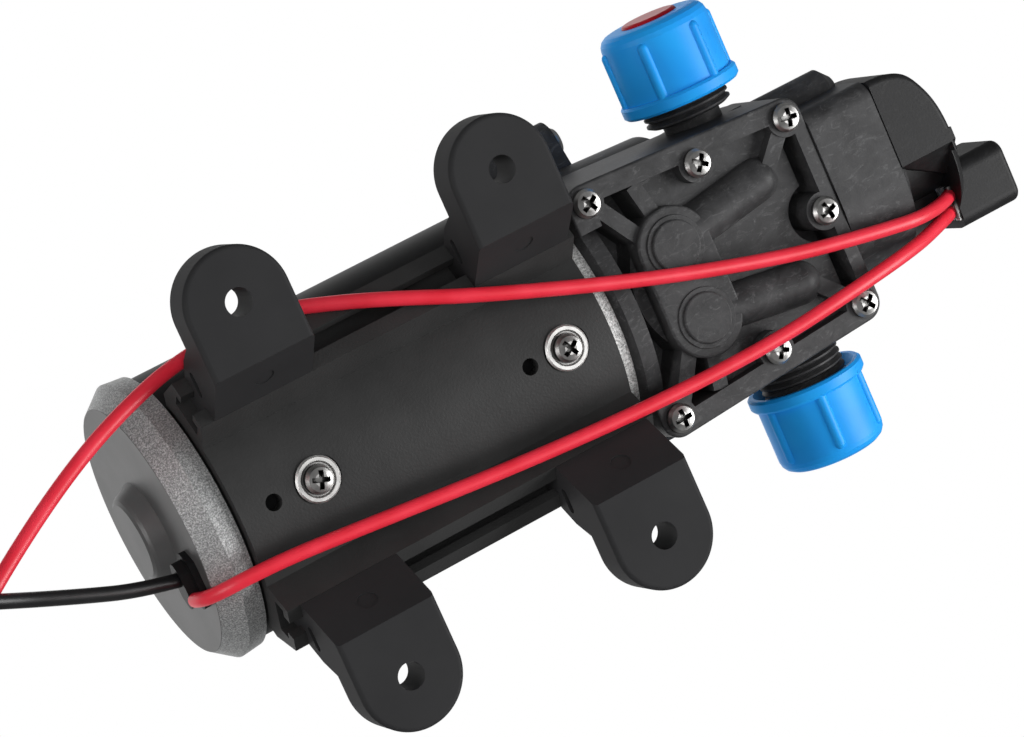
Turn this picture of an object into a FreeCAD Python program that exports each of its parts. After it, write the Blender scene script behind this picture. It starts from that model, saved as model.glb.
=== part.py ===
"""Diaphragm water pump for a caravan or camper: a brushed motor in a can turns an eccentric,
whose rod strokes a diaphragm under a screwed head cover. Two threaded ports face each other
across the head, a pressure switch closes its end, and four feet slide on the motor's saddle.
The four mounting holes' centre is the origin, the mounting plane is Z = 0, the motor lies
along X with the pump head at +X, and all sizes are millimetres."""
import FreeCAD, Part
import math
import os

V = FreeCAD.Vector
X_DIR, Y_DIR, Z_DIR = V(1, 0, 0), V(0, 1, 0), V(0, 0, 1)

# Motor can, which the saddle, rails, feet and end castings follow
AXIS_Z = 41.5                # motor axis above the mounting plane
CAN_R = 26.0
CAN_WALL = 1.4
CORE_HALF_LONG = 22.0        # half the armature, which sets how far the motor reaches rearward
CAN_REAR, CAN_FRONT = -CORE_HALF_LONG - 17.5, 38.0

# Mounting feet and saddle
RAIL_IN, RAIL_BELOW = 4.2, 2.15
RAIL_AT = (CAN_R - RAIL_IN, AXIS_Z - CAN_R - RAIL_BELOW)   # middle of the rail's mouth
HOLE_PITCH_X = 53.0          # mounting holes along the motor
HOLE_PITCH_Y = 2 * (RAIL_AT[0] + 13.9)               # mounting holes across the motor
HOLE_D = 5.0
FOOT_WIDTH = 19.6            # along the motor, also the ear's rounded end
EAR_THICK = 8.5
EAR_ROOT_Y = RAIL_AT[0] + 3.2                        # where the ear's flat face ends
FOOT_HEEL = (RAIL_AT[0] + 7.4, RAIL_AT[1] - 0.95)    # outer corner of the foot's block
HEEL_STEP = 1.8
SLOT_LONG, SLOT_SHORT = 4.8, 1.9
SLOT_AT = (RAIL_AT[0] + 2.8, RAIL_AT[1] - 1.65)
EJECTOR_MARK_D = 3.8
MARK_DEPTH = 0.2
FOOT_EDGE_R = 0.9
FOOT_FIT = 0.1               # running clearance of the foot's tongue in its rail
SADDLE_REAR = CAN_REAR + 0.6
SADDLE_FRONT = 37.8
SADDLE_THICK = 2.8
SADDLE_GAP = 0.2             # air between saddle and can
VALLEY_Y = RAIL_AT[0] - 8.5  # where the saddle's round face turns up to the rail
RAIL_TILT = 35.0             # the rail's face, degrees from level
LIP_INNER, LIP_OUTER = 5.0, 5.1
MOUTH_HALF = 2.0
CHANNEL_HALF = 3.6
LIP_THICK = 2.0
CHANNEL_DEEP = 4.8
ARM_END = (RAIL_AT[0] + 2.1, RAIL_AT[1] + 10.75)     # end of the saddle's outer arm
SADDLE_SCREWS_X = (-23.4, 28.6)
SADDLE_HOLES_X = (-32.3, 20.9)
SADDLE_HOLE_D = 3.1
WASHER_D, WASHER_BORE_D, WASHER_THICK = 8.4, 3.3, 0.8
WASHER_DISH, WASHER_DISH_R = 0.3, 3.0
WASHER_SPOT_EXTRA = 0.3

# Motor's castings and works
CAP_RIM_R = CAN_R + 1.0
CAP_RIDGE = (CAN_REAR - 3.8, CAN_R + 1.4)    # end of the cap's band, along and radius
CAP_FACE = (CAN_REAR - 7.7, CAN_R - 1.7)     # edge of the cap's flat face
CAP_WALL = 2.4
CAP_BOSS_R, CAP_BOSS_END_R, CAP_BOSS_LONG = 9.8, 8.2, 3.8
BELL_LONG = 2.0              # spigot length of both end bells in the can
SHAFT_D = 5.0
SHAFT_REAR = CAP_FACE[0] - 2.2
REAR_BUSH_D, REAR_BUSH_LONG = 9.6, 5.0
BUSH_FIT = 0.03
FLANGE_FRONT = 40.6
FLANGE_R = CAN_R + 0.7
FLANGE_WEB = 2.7
BEARING_OD, BEARING_LONG = 16.0, 5.0
BEARING_REAR = 37.4
RACE_IN_R, RACE_OUT_R = 3.7, 6.5
BALL_FIT = 0.03
BALLS = 8
BEARING_BOSS_WALL = 2.2
REGISTER_R, REGISTER_END = 12.0, 43.9
MAGNET_THICK, MAGNET_HALF_LONG, MAGNET_HALF_ANGLE = 3.6, CORE_HALF_LONG + 7.0, 62.0
AIR_GAP = 0.7
CORE_SLOTS, SLOT_DEEP, SLOT_WIDE = 7, 9.0, 3.2
END_TURN_LONG, END_TURN_IN_R, END_TURN_OUT_R = 5.5, 5.5, 17.5
COMMUTATOR_R, COMMUTATOR_REAR, COMMUTATOR_LONG = 6.0, CAN_REAR + 3.5, 7.5
COMMUTATOR_BARS, BAR_GAP, BAR_GAP_DEEP = 7, 0.5, 0.8
BRUSH_LONG, BRUSH_WIDE, BRUSH_HIGH = 8.0, 4.0, 4.0
BRUSH_TOUCH = 0.05
HOLDER_THICK, HOLDER_BORE_R = 1.4, 8.0
BRUSH_SPRING_D, BRUSH_SPRING_LONG = 3.4, 6.0
GUIDE_WALL = 1.0

# Terminal block on the rear cap
BLOCK_AT = (8.2, 25.6)
BLOCK_BASE, BLOCK_TOP = (5.5, 3.4), (4.4, 2.3)      # half sizes across Y and Z
BLOCK_BASE_THICK, BLOCK_TOP_THICK = 1.2, 2.0
BLOCK_CORNER_R = 1.4

# Crank, rod and diaphragm
CRANK_X = 62.0
ECCENTRICITY = 1.5
ECCENTRIC_D, CRANK_WIDE = 10.0, 5.0
RING_BEARING_OD = 19.0
RING_IN_R, RING_OUT_R = 6.1, 8.2
RING_BALLS = 10
GRUB_D, GRUB_LONG = 2.0, 1.4
ROD_RING_WALL = 1.6
ROD_STEM = (4.0, 2.5)        # half sizes of the stem across X and Y
CLAMP_R, CLAMP_THICK = 5.2, 1.0
CLAMP_SCREW_D, CLAMP_SCREW_LONG = 2.5, 5.0
CLAMP_HEAD_D, CLAMP_HEAD_HIGH = 4.4, 0.9
DIAPHRAGM_THICK = 1.4
DIAPHRAGM_R, DIAPHRAGM_SEAT_R = 14.3, 11.5
CHAMBER_R, CHAMBER_DEEP = 11.2, 3.4

# Pump body
SPLIT_Z = 24.8               # joint between body and head cover
BODY_RING_R, BODY_RING_FRONT, BODY_RING_BEVEL = 28.5, 44.7, 1.0
CASE_REAR_R, CASE_FRONT_R, CASE_FRONT = 25.4, 23.8, 69.5
CASE_WALL = 3.0
CAVITY_R = 20.5
CAVITY_FLOOR = 27.4
HEAD_BLOCK_TOP = 33.5
PORT_X, PORT_Z = 75.9, 29.0
PORT_TUBE_R = 9.4
PORT_FACE_Y = 22.7
PORT_NECK_R, PORT_NECK_END = 5.6, 25.0
THREAD_R, THREAD_ROOT_R, THREAD_PITCH, THREAD_TURNS = 8.33, 7.45, 1.337, 10
PORT_BORE_R, PORT_BORE_START = 3.8, 7.5
PORT_CHAMFER = 0.5
STUB_R, STUB_Y, STUB_FRONT = 16.0, 1.4, 104.1
STUB_FLAT_Z, STUB_SIDE_Y, STUB_CORNER_R = PORT_Z - STUB_R, -18.0, 3.2    # squared quarter
SEAM_GROOVE = 0.3
SENSE_R, SENSE_Y = 1.2, -9.0
SENSE_CHAMBER_R, SENSE_CHAMBER_DEEP = 10.4, 1.4
LUG_R, LUG_FRONT = 4.5, 56.8
LUGS = ((28.6, 51.5), (-28.6, 51.5), (0.0, 71.6))   # body lugs, across and up
SIDE_BAR = (-17.8, 27.4, 4.3, 82.0, 104.0)          # across, up, radius, rear, front

# Head cover
COVER_FACE_Z = 13.4          # outer face of the rim and the screw bosses
COVER_SCREWS = ((43.5, 21.4), (66.4, 18.8), (86.1, 18.8), (86.1, 0.0),
                (86.1, -18.8), (66.4, -18.8), (43.5, -21.4))
BOSS_R = 3.6
RIM_WIDE, RIM_FRONT_WIDE, ROOM_CORNER_R = 3.9, 2.9, 0.5
REAR_GAP_Y = 16.5            # the rim is open to the body's ring between the rear bosses
FLOOR_Z, DEEP_FLOOR_Z = 16.5, 22.4
PLATEAU_X = (53.4, 84.9)     # floor between the deeper rear pockets and the front groove
DEEP_ROUND_R = 5.8
PLATE_CEILING_Z = 18.3
PAD_AT = (55.9, 7.2)
PAD_R, PAD_Z = 7.4, 12.7
DISC_R, DISC_RAISE, LEDGE_R, LEDGE_RAISE = 4.8, 0.8, 5.7, 0.3
PAD_CHAMBER_R, PAD_CHAMBER_TOP = 5.3, 14.4
TUBE_END = (77.1, 10.4)
TUBE_R, TUBE_Z, TUBE_BORE_R = 4.2, 16.7, 2.2
RIB_WIDE, RIB_Z = 3.0, 13.8
COVER_EDGE_R = 0.5
PLATE_RIM = 1.2              # cover wall round the valve plate

# Valves
GASKET_THICK, GASKET_BORE_R = 0.5, 12.6
PLATE_R, PLATE_THICK = 14.6, 4.6
VALVE_AT = (57.4, 5.9)
VALVE_R, VALVE_THICK, VALVE_STEM_R, VALVE_GAP = 2.8, 0.7, 0.7, 0.05
VALVE_PORTS, VALVE_PORT_R, VALVE_PORT_PITCH_R = 4, 0.6, 1.7
VALVE_BARB_R, VALVE_BARB_LONG = 1.0, 0.6

# Port nuts and transport plugs
INLET_NUT_OPEN, OUTLET_NUT_OPEN, NUT_LONG = 29.3, 28.4, 15.9
INLET_NUT_TURN, OUTLET_NUT_TURN = 15.6, 41.7         # where the ribs stand, degrees
NUT_BODY_R, NUT_MOUTH_R, NUT_FLANGE_R, NUT_FLANGE_LONG = 10.5, 10.2, 11.5, 2.6
NUT_BORE_FIT = 0.1
NUT_MOUTH_LONG = 2.8
NUT_END_WALL, NUT_ROUND = 2.0, 2.4
NUT_RIBS, NUT_RIB_R, NUT_RIB_STAND, NUT_RIB_SHORT = 6, 1.1, 0.7, 3.6
PLUG_R, PLUG_PROUD, PLUG_FLANGE_R, PLUG_FLANGE_LONG = 5.4, 0.6, 7.6, 1.4
PLUG_FIT = 0.1
PLUG_ROUND = 0.55

# Pressure switch
SWITCH_REAR_R, SWITCH_MID, SWITCH_FRONT = STUB_R, (110.6, 15.8), (115.8, 14.4)
SWITCH_END, SWITCH_END_R = 117.4, 12.8
CUP_R, CUP_BORE_R = 9.6, 8.2
SEAT_RING_R, SEAT_RING_FRONT = 12.9, 106.0
BAY_Y, BAY_Z, BAY_FRONT = -0.4, 26.6, 115.6
LUG_BOX = (115.6, 129.1, 4.8, 17.3, 20.5, 36.0)     # X, Y and Z limits
LUG_BOX_WALL, LUG_BOX_R, LUG_BOX_END_R = 1.6, 2.6, 1.2
GUSSET = (-3.2, 4.9, 22.8, 35.2)                    # Y and Z limits of the lug box's gusset
SWITCH_PLAN = ((104.1, -17.7), (109.3, -17.1), (112.2, -15.6), (114.1, -13.0), (115.6, -9.6),
               (116.4, -5.9), (116.6, -0.6))         # rounded end of the cup's flat quarter
PLAN_EDGE_R = 1.2
SHOULDER_END_X, SHOULDER_INNER_Y = 116.6, -3.0
SHOULDER = ((-0.6, -0.6), (-0.4, 6.4), (13.8, 20.6))  # its edges across at both ends, and their height
SEAL = (115.0, 8.6, 15.4, 20.9, 25.7)               # rear face, Y and Z limits
SENSE_DISC_R, SENSE_DISC_THICK = 11.4, 1.0
PISTON_R, PISTON_THICK, PISTON_PIN_R = 6.6, 1.8, 1.5
SWITCH_GAP, SWITCH_TRAVEL = 0.3, 0.6
MICRO_REAR, MICRO_FRONT, MICRO_HALF_Y, MICRO_HALF_Z = 110.9, 115.4, 6.2, 3.2
BUTTON_R, BUTTON_START, BUTTON_END = 1.0, 109.4, 111.6
SPRING_R, SPRING_WIRE_R, SPRING_TURNS = 5.2, 0.35, 3
SWITCH_SCREWS = ((-9.1, 19.9), (-9.1, 38.1), (4.4, 41.1))

# Screws
COVER_HEAD_D, COVER_HEAD_HIGH, COVER_SHANK_D, COVER_SCREW_LONG = 5.4, 1.9, 2.9, 16.0
SADDLE_HEAD_D, SADDLE_HEAD_HIGH, SADDLE_SHANK_D, SADDLE_SCREW_LONG = 5.3, 2.0, 2.9, 5.2
BODY_HEAD_D, BODY_HEAD_HIGH, BODY_SHANK_D = 6.0, 2.0, 3.4
SWITCH_HEAD_D, SWITCH_HEAD_HIGH, SWITCH_SHANK_D, SWITCH_SCREW_LONG = 3.4, 1.5, 2.0, 17.0
CROSS_SHARE, CROSS_WIDE_SHARE, CROSS_DEEP_SHARE = 0.64, 0.17, 0.75
COVER_TURN, SADDLE_TURN, SADDLE_TURN_STEP, BODY_TURN, SWITCH_TURN = 25, 20, 40, 15, 30


def save(name, shape):
    """Write one node and print its solids, so that a broken shape shows at once."""
    os.makedirs("parts", exist_ok=True)
    shape.exportStep("parts/" + name + ".step")
    print(name, len(shape.Solids), round(shape.Volume, 1), shape.isValid())


def rod_x(x0, x1, r, y=0.0, z=AXIS_Z):
    return Part.makeCylinder(r, x1 - x0, V(x0, y, z), X_DIR)


def rod_y(y0, y1, r, x, z):
    return Part.makeCylinder(r, y1 - y0, V(x, y0, z), Y_DIR)


def rod_z(z0, z1, r, x, y):
    return Part.makeCylinder(r, z1 - z0, V(x, y, z0), Z_DIR)


def block(x0, x1, y0, y1, z0, z1):
    return Part.makeBox(x1 - x0, y1 - y0, z1 - z0, V(x0, y0, z0))


def turned(profile, origin, axis):
    """Solid of revolution: profile holds (along, radius) pairs round an axis at origin."""
    side = V(0, 0, 1) if abs(axis.z) < 0.5 else V(1, 0, 0)
    points = [origin + axis * a + side * r for a, r in profile]
    wire = Part.makePolygon(points + [points[0]])
    return Part.Face(wire).revolve(origin, axis, 360)


def turned_x(profile, y=0.0, z=AXIS_Z):
    return turned(profile, V(0, y, z), X_DIR)


def hull_face(circles, z):
    """Face bounded by the tangents and arcs round circles (x, y, r), listed anticlockwise."""
    count = len(circles)
    normals = []
    for i in range(count):
        x0, y0, r0 = circles[i]
        x1, y1, r1 = circles[(i + 1) % count]
        length = math.hypot(x1 - x0, y1 - y0)
        dx, dy = (x1 - x0) / length, (y1 - y0) / length
        lean = (r0 - r1) / length
        upright = math.sqrt(1 - lean * lean)
        normals.append((dx * lean + dy * upright, dy * lean - dx * upright))
    edges = []
    for i in range(count):
        x0, y0, r0 = circles[i]
        x1, y1, r1 = circles[(i + 1) % count]
        before, after = normals[i - 1], normals[i]
        mx, my = before[0] + after[0], before[1] + after[1]
        if before[0] * after[1] - before[1] * after[0] < 0 or math.hypot(mx, my) < 1e-6:
            mx, my = before[1] * -1.0, before[0]
        size = math.hypot(mx, my)
        start = V(x0 + before[0] * r0, y0 + before[1] * r0, z)
        middle = V(x0 + mx / size * r0, y0 + my / size * r0, z)
        end = V(x0 + after[0] * r0, y0 + after[1] * r0, z)
        if (end - start).Length > 1e-6:
            edges.append(Part.Arc(start, middle, end).toShape())
        edges.append(Part.LineSegment(end, V(x1 + after[0] * r1, y1 + after[1] * r1, z)).toShape())
    return Part.Face(Part.Wire(edges))


def hull_plate(circles, z0, z1):
    return hull_face(circles, z0).extrude(V(0, 0, z1 - z0))


def rounded_plate(x0, x1, y0, y1, r, z0, z1):
    return hull_plate(((x1 - r, y0 + r, r), (x1 - r, y1 - r, r), (x0 + r, y1 - r, r),
                       (x0 + r, y0 + r, r)), z0, z1)


def mirrored(shape):
    """The same shape on the other side of the motor's upright middle plane."""
    return shape.mirror(V(0, 0, 0), Y_DIR)


def turn_about(shape, origin, axis, degrees):
    copy = shape.copy()
    copy.rotate(origin, axis, degrees)
    return copy


def ring_of(shape, count, origin, axis):
    return [turn_about(shape, origin, axis, 360.0 * i / count) for i in range(count)]


def pan_screw(head_d, head_high, shank_d, length):
    """Pan-head screw along +X: the head's seat is X = 0 and its cross recess faces -X."""
    head_r, shank_r = head_d / 2, shank_d / 2
    dome = turned([(0, 0), (0, head_r), (-head_high * 0.45, head_r), (-head_high * 0.8, head_r * 0.82),
                   (-head_high, head_r * 0.45), (-head_high, 0)], V(0, 0, 0), X_DIR)
    tip = shank_r * 0.6
    shank = turned([(0, 0), (0, shank_r), (length - tip, shank_r), (length, shank_r - tip),
                    (length, 0)], V(0, 0, 0), X_DIR)
    arm, wide = head_r * CROSS_SHARE, head_d * CROSS_WIDE_SHARE
    deep = head_high * CROSS_DEEP_SHARE
    cross = block(-head_high - 1, deep - head_high, -arm, arm, -wide / 2, wide / 2).fuse(
        block(-head_high - 1, deep - head_high, -wide / 2, wide / 2, -arm, arm))
    return dome.fuse(shank).cut(cross).removeSplitter()


def aimed(shape, place, degrees_y=0.0, spin=0.0):
    """Turn a shape made along X about its own axis, then about Y, then move it to place."""
    copy = shape.copy()
    copy.rotate(V(0, 0, 0), X_DIR, spin)
    copy.rotate(V(0, 0, 0), Y_DIR, degrees_y)
    copy.translate(V(*place))
    return copy


# Rail frame: u runs along the rail's face away from the mounting plane, n into the saddle
TILT = math.radians(RAIL_TILT)


def rail(u, n):
    return (RAIL_AT[0] + u * math.cos(TILT) - n * math.sin(TILT),
            RAIL_AT[1] + u * math.sin(TILT) + n * math.cos(TILT))


def yz(point, x):
    return V(x, point[0], point[1])


def side_face(points, x):
    outline = [yz(p, x) for p in points]
    return Part.Face(Part.makePolygon(outline + [outline[0]]))


# Mounting saddle: a curved plate on the can with a slotted rail along each side
def mounting_saddle():
    outer_r = CAN_R + SADDLE_GAP + SADDLE_THICK
    inner_r = CAN_R + SADDLE_GAP
    length = SADDLE_FRONT - SADDLE_REAR
    tube = rod_x(SADDLE_REAR, SADDLE_FRONT, outer_r).cut(rod_x(SADDLE_REAR, SADDLE_FRONT, inner_r))
    reach = math.hypot(ARM_END[0], AXIS_Z - ARM_END[1])
    root = (ARM_END[0] * inner_r / reach, AXIS_Z - (AXIS_Z - ARM_END[1]) * inner_r / reach)
    valley = (VALLEY_Y, AXIS_Z - math.sqrt(outer_r ** 2 - VALLEY_Y ** 2))
    wedge = side_face([(0, AXIS_Z), (0, 0), (VALLEY_Y, 0), valley, root], SADDLE_REAR)
    middle = tube.common(wedge.extrude(V(length, 0, 0)))
    arm = side_face([valley, rail(-LIP_INNER, 0), rail(-MOUTH_HALF, 0), rail(-MOUTH_HALF, LIP_THICK),
                     rail(-CHANNEL_HALF, LIP_THICK), rail(-CHANNEL_HALF, CHANNEL_DEEP),
                     rail(CHANNEL_HALF, CHANNEL_DEEP), rail(CHANNEL_HALF, LIP_THICK),
                     rail(MOUTH_HALF, LIP_THICK), rail(MOUTH_HALF, 0), rail(LIP_OUTER, 0),
                     ARM_END, root, (root[0] * 0.5, AXIS_Z - inner_r * 0.7)], SADDLE_REAR)
    half = middle.fuse(arm.extrude(V(length, 0, 0)).cut(rod_x(SADDLE_REAR, SADDLE_FRONT, inner_r)))
    saddle = half.fuse(mirrored(half)).removeSplitter()
    apex = AXIS_Z - outer_r
    for x in SADDLE_HOLES_X:
        saddle = saddle.cut(rod_z(apex - 1, AXIS_Z, SADDLE_HOLE_D / 2, x, 0))
    spot = WASHER_D / 2 + WASHER_SPOT_EXTRA
    for x in SADDLE_SCREWS_X:
        saddle = saddle.cut(rod_z(apex - 1, AXIS_Z, SADDLE_SHANK_D / 2, x, 0))
        saddle = saddle.cut(rod_z(apex - 1, washer_seat_z(), spot, x, 0))
    return saddle


def washer_seat_z():
    """Height of the flat spot that the washer's full width needs on the round saddle."""
    outer_r = CAN_R + SADDLE_GAP + SADDLE_THICK
    return AXIS_Z - math.sqrt(outer_r ** 2 - (WASHER_D / 2) ** 2)


# Foot: an ear with the mounting hole, a sloped block and a tongue that slides in the rail
def foot(hole_x):
    rear = hole_x - FOOT_WIDTH / 2
    end_y = HOLE_PITCH_Y / 2 + FOOT_WIDTH / 2
    heel_top = (FOOT_HEEL[0] + HEEL_STEP, EAR_THICK)
    profile = side_face([(EAR_ROOT_Y, 0), (end_y, 0), (end_y, EAR_THICK), heel_top, FOOT_HEEL,
                         rail(LIP_OUTER, -FOOT_FIT), rail(-LIP_INNER, -FOOT_FIT)], rear)
    shape = profile.extrude(V(FOOT_WIDTH, 0, 0))
    r = FOOT_WIDTH / 2
    plan = rod_z(-1, 2 * HOLE_PITCH_Y, r, hole_x, HOLE_PITCH_Y / 2).fuse(
        block(rear, rear + FOOT_WIDTH, 0, HOLE_PITCH_Y / 2, -1, 2 * HOLE_PITCH_Y))
    shape = shape.common(plan)
    rims = [e for e in shape.Edges if e.BoundBox.YMin > HOLE_PITCH_Y / 2 - 0.1
            and e.BoundBox.ZLength < 0.01 and e.Length > 5]
    shape = shape.makeFillet(FOOT_EDGE_R, rims)
    tongue = [rail(-MOUTH_HALF + FOOT_FIT, -FOOT_FIT), rail(MOUTH_HALF - FOOT_FIT, -FOOT_FIT),
              rail(MOUTH_HALF - FOOT_FIT, LIP_THICK + FOOT_FIT),
              rail(CHANNEL_HALF - FOOT_FIT, LIP_THICK + FOOT_FIT),
              rail(CHANNEL_HALF - FOOT_FIT, CHANNEL_DEEP - FOOT_FIT),
              rail(-CHANNEL_HALF + FOOT_FIT, CHANNEL_DEEP - FOOT_FIT),
              rail(-CHANNEL_HALF + FOOT_FIT, LIP_THICK + FOOT_FIT),
              rail(-MOUTH_HALF + FOOT_FIT, LIP_THICK + FOOT_FIT)]
    shape = shape.fuse(side_face(tongue, rear).extrude(V(FOOT_WIDTH, 0, 0)))
    flat = (SLOT_LONG - SLOT_SHORT) / 2
    slot_r = SLOT_SHORT / 2
    slot = block(rear - 1, rear + FOOT_WIDTH + 1, SLOT_AT[0] - flat, SLOT_AT[0] + flat,
                 SLOT_AT[1] - slot_r, SLOT_AT[1] + slot_r)
    for y in (SLOT_AT[0] - flat, SLOT_AT[0] + flat):
        slot = slot.fuse(rod_x(rear - 1, rear + FOOT_WIDTH + 1, slot_r, y, SLOT_AT[1]))
    shape = shape.cut(slot).cut(rod_z(-1, 2 * EAR_THICK, HOLE_D / 2, hole_x, HOLE_PITCH_Y / 2))
    toe = rail(-LIP_INNER, -FOOT_FIT)
    across, up = EAR_ROOT_Y - toe[0], toe[1]
    slope = math.hypot(across, up)
    out = V(0, -up / slope, -across / slope)
    centre = V(hole_x, (EAR_ROOT_Y + toe[0]) / 2, toe[1] / 2)
    mark = Part.makeCylinder(EJECTOR_MARK_D / 2, 2 * MARK_DEPTH, centre - out * MARK_DEPTH, out)
    return shape.cut(mark).removeSplitter()


# Motor housing: drawn can, cast rear cap and cast front flange
def motor_can():
    can = rod_x(CAN_REAR, CAN_FRONT, CAN_R).cut(rod_x(CAN_REAR, CAN_FRONT, CAN_R - CAN_WALL))
    for x in SADDLE_SCREWS_X:
        can = can.cut(rod_z(0, AXIS_Z, SADDLE_SHANK_D / 2, x, 0))
    return can


def rear_cap():
    inner_r = CAN_R - CAN_WALL
    floor = CAP_FACE[0] + CAP_WALL
    boss_end = CAP_FACE[0] - CAP_BOSS_LONG
    bush_r = REAR_BUSH_D / 2
    bush_end = boss_end + CAP_WALL / 2
    cap = turned_x([(boss_end, 0), (boss_end, CAP_BOSS_END_R - 1.0), (boss_end + 0.4, CAP_BOSS_END_R - 0.25),
                    (boss_end + 1.0, CAP_BOSS_END_R + 0.2), (CAP_FACE[0] + 0.0, CAP_BOSS_R),
                    CAP_FACE, CAP_RIDGE, (CAN_REAR, CAP_RIM_R), (CAN_REAR, inner_r),
                    (CAN_REAR + BELL_LONG, inner_r), (CAN_REAR + BELL_LONG, inner_r - CAP_WALL / 2),
                    (floor + 2.0, inner_r - CAP_WALL / 2), (floor, inner_r - CAP_WALL),
                    (floor, bush_r + CAP_WALL / 2), (bush_end + REAR_BUSH_LONG, bush_r + CAP_WALL / 2),
                    (bush_end + REAR_BUSH_LONG, bush_r), (bush_end, bush_r), (bush_end, 0)])
    hole = rod_x(CAP_FACE[0] - 1, floor + 1, BLOCK_TOP[1], *BLOCK_AT)
    return cap.cut(hole)


def terminal_block():
    """Insulator with two steps on the cap's face; its stem goes through the cap's wall."""
    y, z = BLOCK_AT
    face = CAP_FACE[0]
    shape = rod_x(face, face + CAP_WALL, BLOCK_TOP[1], y, z)
    back = face
    for (half_y, half_z), thick in ((BLOCK_BASE, BLOCK_BASE_THICK), (BLOCK_TOP, BLOCK_TOP_THICK)):
        r = min(BLOCK_CORNER_R, half_z * 0.8)
        plate = hull_plate(((half_z - r, -half_y + r + 1.2, r), (half_z - r, half_y - r - 1.2, r),
                            (0, half_y - r, r), (-half_z + r, half_y - r - 1.2, r),
                            (-half_z + r, -half_y + r + 1.2, r), (0, -half_y + r, r)), 0, thick)
        plate.rotate(V(0, 0, 0), Y_DIR, -90)
        plate.translate(V(back, y, z))
        shape = shape.fuse(plate)
        back -= thick
    return shape.removeSplitter()


def front_flange():
    inner_r = CAN_R - CAN_WALL
    bearing_r = BEARING_OD / 2
    boss_r = bearing_r + BEARING_BOSS_WALL
    bearing_front = BEARING_REAR + BEARING_LONG
    bell = turned_x([(CAN_FRONT - BELL_LONG, inner_r - CAP_WALL), (CAN_FRONT - BELL_LONG, inner_r),
                     (CAN_FRONT, inner_r), (CAN_FRONT, FLANGE_R), (FLANGE_FRONT, FLANGE_R),
                     (FLANGE_FRONT, REGISTER_R), (REGISTER_END, REGISTER_R),
                     (REGISTER_END, SHAFT_D / 2 + 1.2), (bearing_front, SHAFT_D / 2 + 1.2),
                     (bearing_front, bearing_r), (BEARING_REAR - 1.0, bearing_r),
                     (BEARING_REAR - 1.0, boss_r), (FLANGE_FRONT - FLANGE_WEB, boss_r),
                     (FLANGE_FRONT - FLANGE_WEB, inner_r - CAP_WALL)])
    for y, z in LUGS:
        ear = lug_web(y, z, CAN_FRONT, FLANGE_FRONT)
        bell = bell.fuse(ear.cut(rod_x(CAN_FRONT - 1, FLANGE_FRONT + 1, FLANGE_R - 1)))
        bell = bell.cut(rod_x(CAN_FRONT - 1, FLANGE_FRONT + 1, BODY_SHANK_D / 2, y, z))
    return bell.removeSplitter()


def lug_web(y, z, x0, x1):
    """Rounded ear from the motor's axis line out to a screw centre."""
    reach = math.hypot(y, z - AXIS_Z)
    uy, uz = y / reach, (z - AXIS_Z) / reach
    inner = reach - 3 * LUG_R
    web = block(x0, x1, inner, reach, -LUG_R, LUG_R)
    web.rotate(V(0, 0, 0), X_DIR, math.degrees(math.atan2(uz, uy)))
    web.translate(V(0, 0, AXIS_Z))
    return web.fuse(rod_x(x0, x1, LUG_R, y, z))


def magnet_pair():
    outer = CAN_R - CAN_WALL
    inner = outer - MAGNET_THICK
    shell = rod_x(-MAGNET_HALF_LONG, MAGNET_HALF_LONG, outer).cut(
        rod_x(-MAGNET_HALF_LONG, MAGNET_HALF_LONG, inner))
    reach = 2 * outer
    half = math.radians(MAGNET_HALF_ANGLE)
    sector = side_face([(0, AXIS_Z), (reach * math.cos(half), AXIS_Z - reach * math.sin(half)),
                        (reach * 2, AXIS_Z),
                        (reach * math.cos(half), AXIS_Z + reach * math.sin(half))], -MAGNET_HALF_LONG)
    one = shell.common(sector.extrude(V(2 * MAGNET_HALF_LONG, 0, 0)))
    return Part.Compound([one, mirrored(one)])


# Rotor: shaft, laminated core, windings and commutator
def core_radius():
    return CAN_R - CAN_WALL - MAGNET_THICK - AIR_GAP


def core_slots(x0, x1, trim):
    r = core_radius()
    slot = block(x0, x1, -SLOT_WIDE / 2 + trim, SLOT_WIDE / 2 - trim,
                 AXIS_Z + r - SLOT_DEEP, AXIS_Z + r + 1 - trim * 20)
    return ring_of(slot, CORE_SLOTS, V(0, 0, AXIS_Z), X_DIR)


def armature_core():
    core = rod_x(-CORE_HALF_LONG, CORE_HALF_LONG, core_radius()).cut(
        rod_x(-CORE_HALF_LONG, CORE_HALF_LONG, SHAFT_D / 2))
    for slot in core_slots(-CORE_HALF_LONG - 1, CORE_HALF_LONG + 1, 0.0):
        core = core.cut(slot)
    return core


def armature_windings():
    coils = None
    for sign in (-1, 1):
        near, far = sign * CORE_HALF_LONG, sign * (CORE_HALF_LONG + END_TURN_LONG)
        ring = turned_x([(near, END_TURN_IN_R), (near, END_TURN_OUT_R), (far - sign * 2, END_TURN_OUT_R),
                         (far, END_TURN_OUT_R - 3), (far, END_TURN_IN_R)])
        coils = ring if coils is None else coils.fuse(ring)
    for bar in core_slots(-CORE_HALF_LONG - 0.5, CORE_HALF_LONG + 0.5, 0.1):
        coils = coils.fuse(bar)
    return coils


def commutator():
    end = COMMUTATOR_REAR + COMMUTATOR_LONG
    drum = rod_x(COMMUTATOR_REAR, end, COMMUTATOR_R).cut(rod_x(COMMUTATOR_REAR, end, SHAFT_D / 2))
    gap = block(COMMUTATOR_REAR - 1, end + 1, -BAR_GAP / 2, BAR_GAP / 2,
                AXIS_Z + COMMUTATOR_R - BAR_GAP_DEEP, AXIS_Z + COMMUTATOR_R + 1)
    for cut in ring_of(gap, COMMUTATOR_BARS, V(0, 0, AXIS_Z), X_DIR):
        drum = drum.cut(cut)
    return drum


def motor_shaft():
    return rod_x(SHAFT_REAR, CRANK_X + CRANK_WIDE / 2, SHAFT_D / 2)


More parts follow.
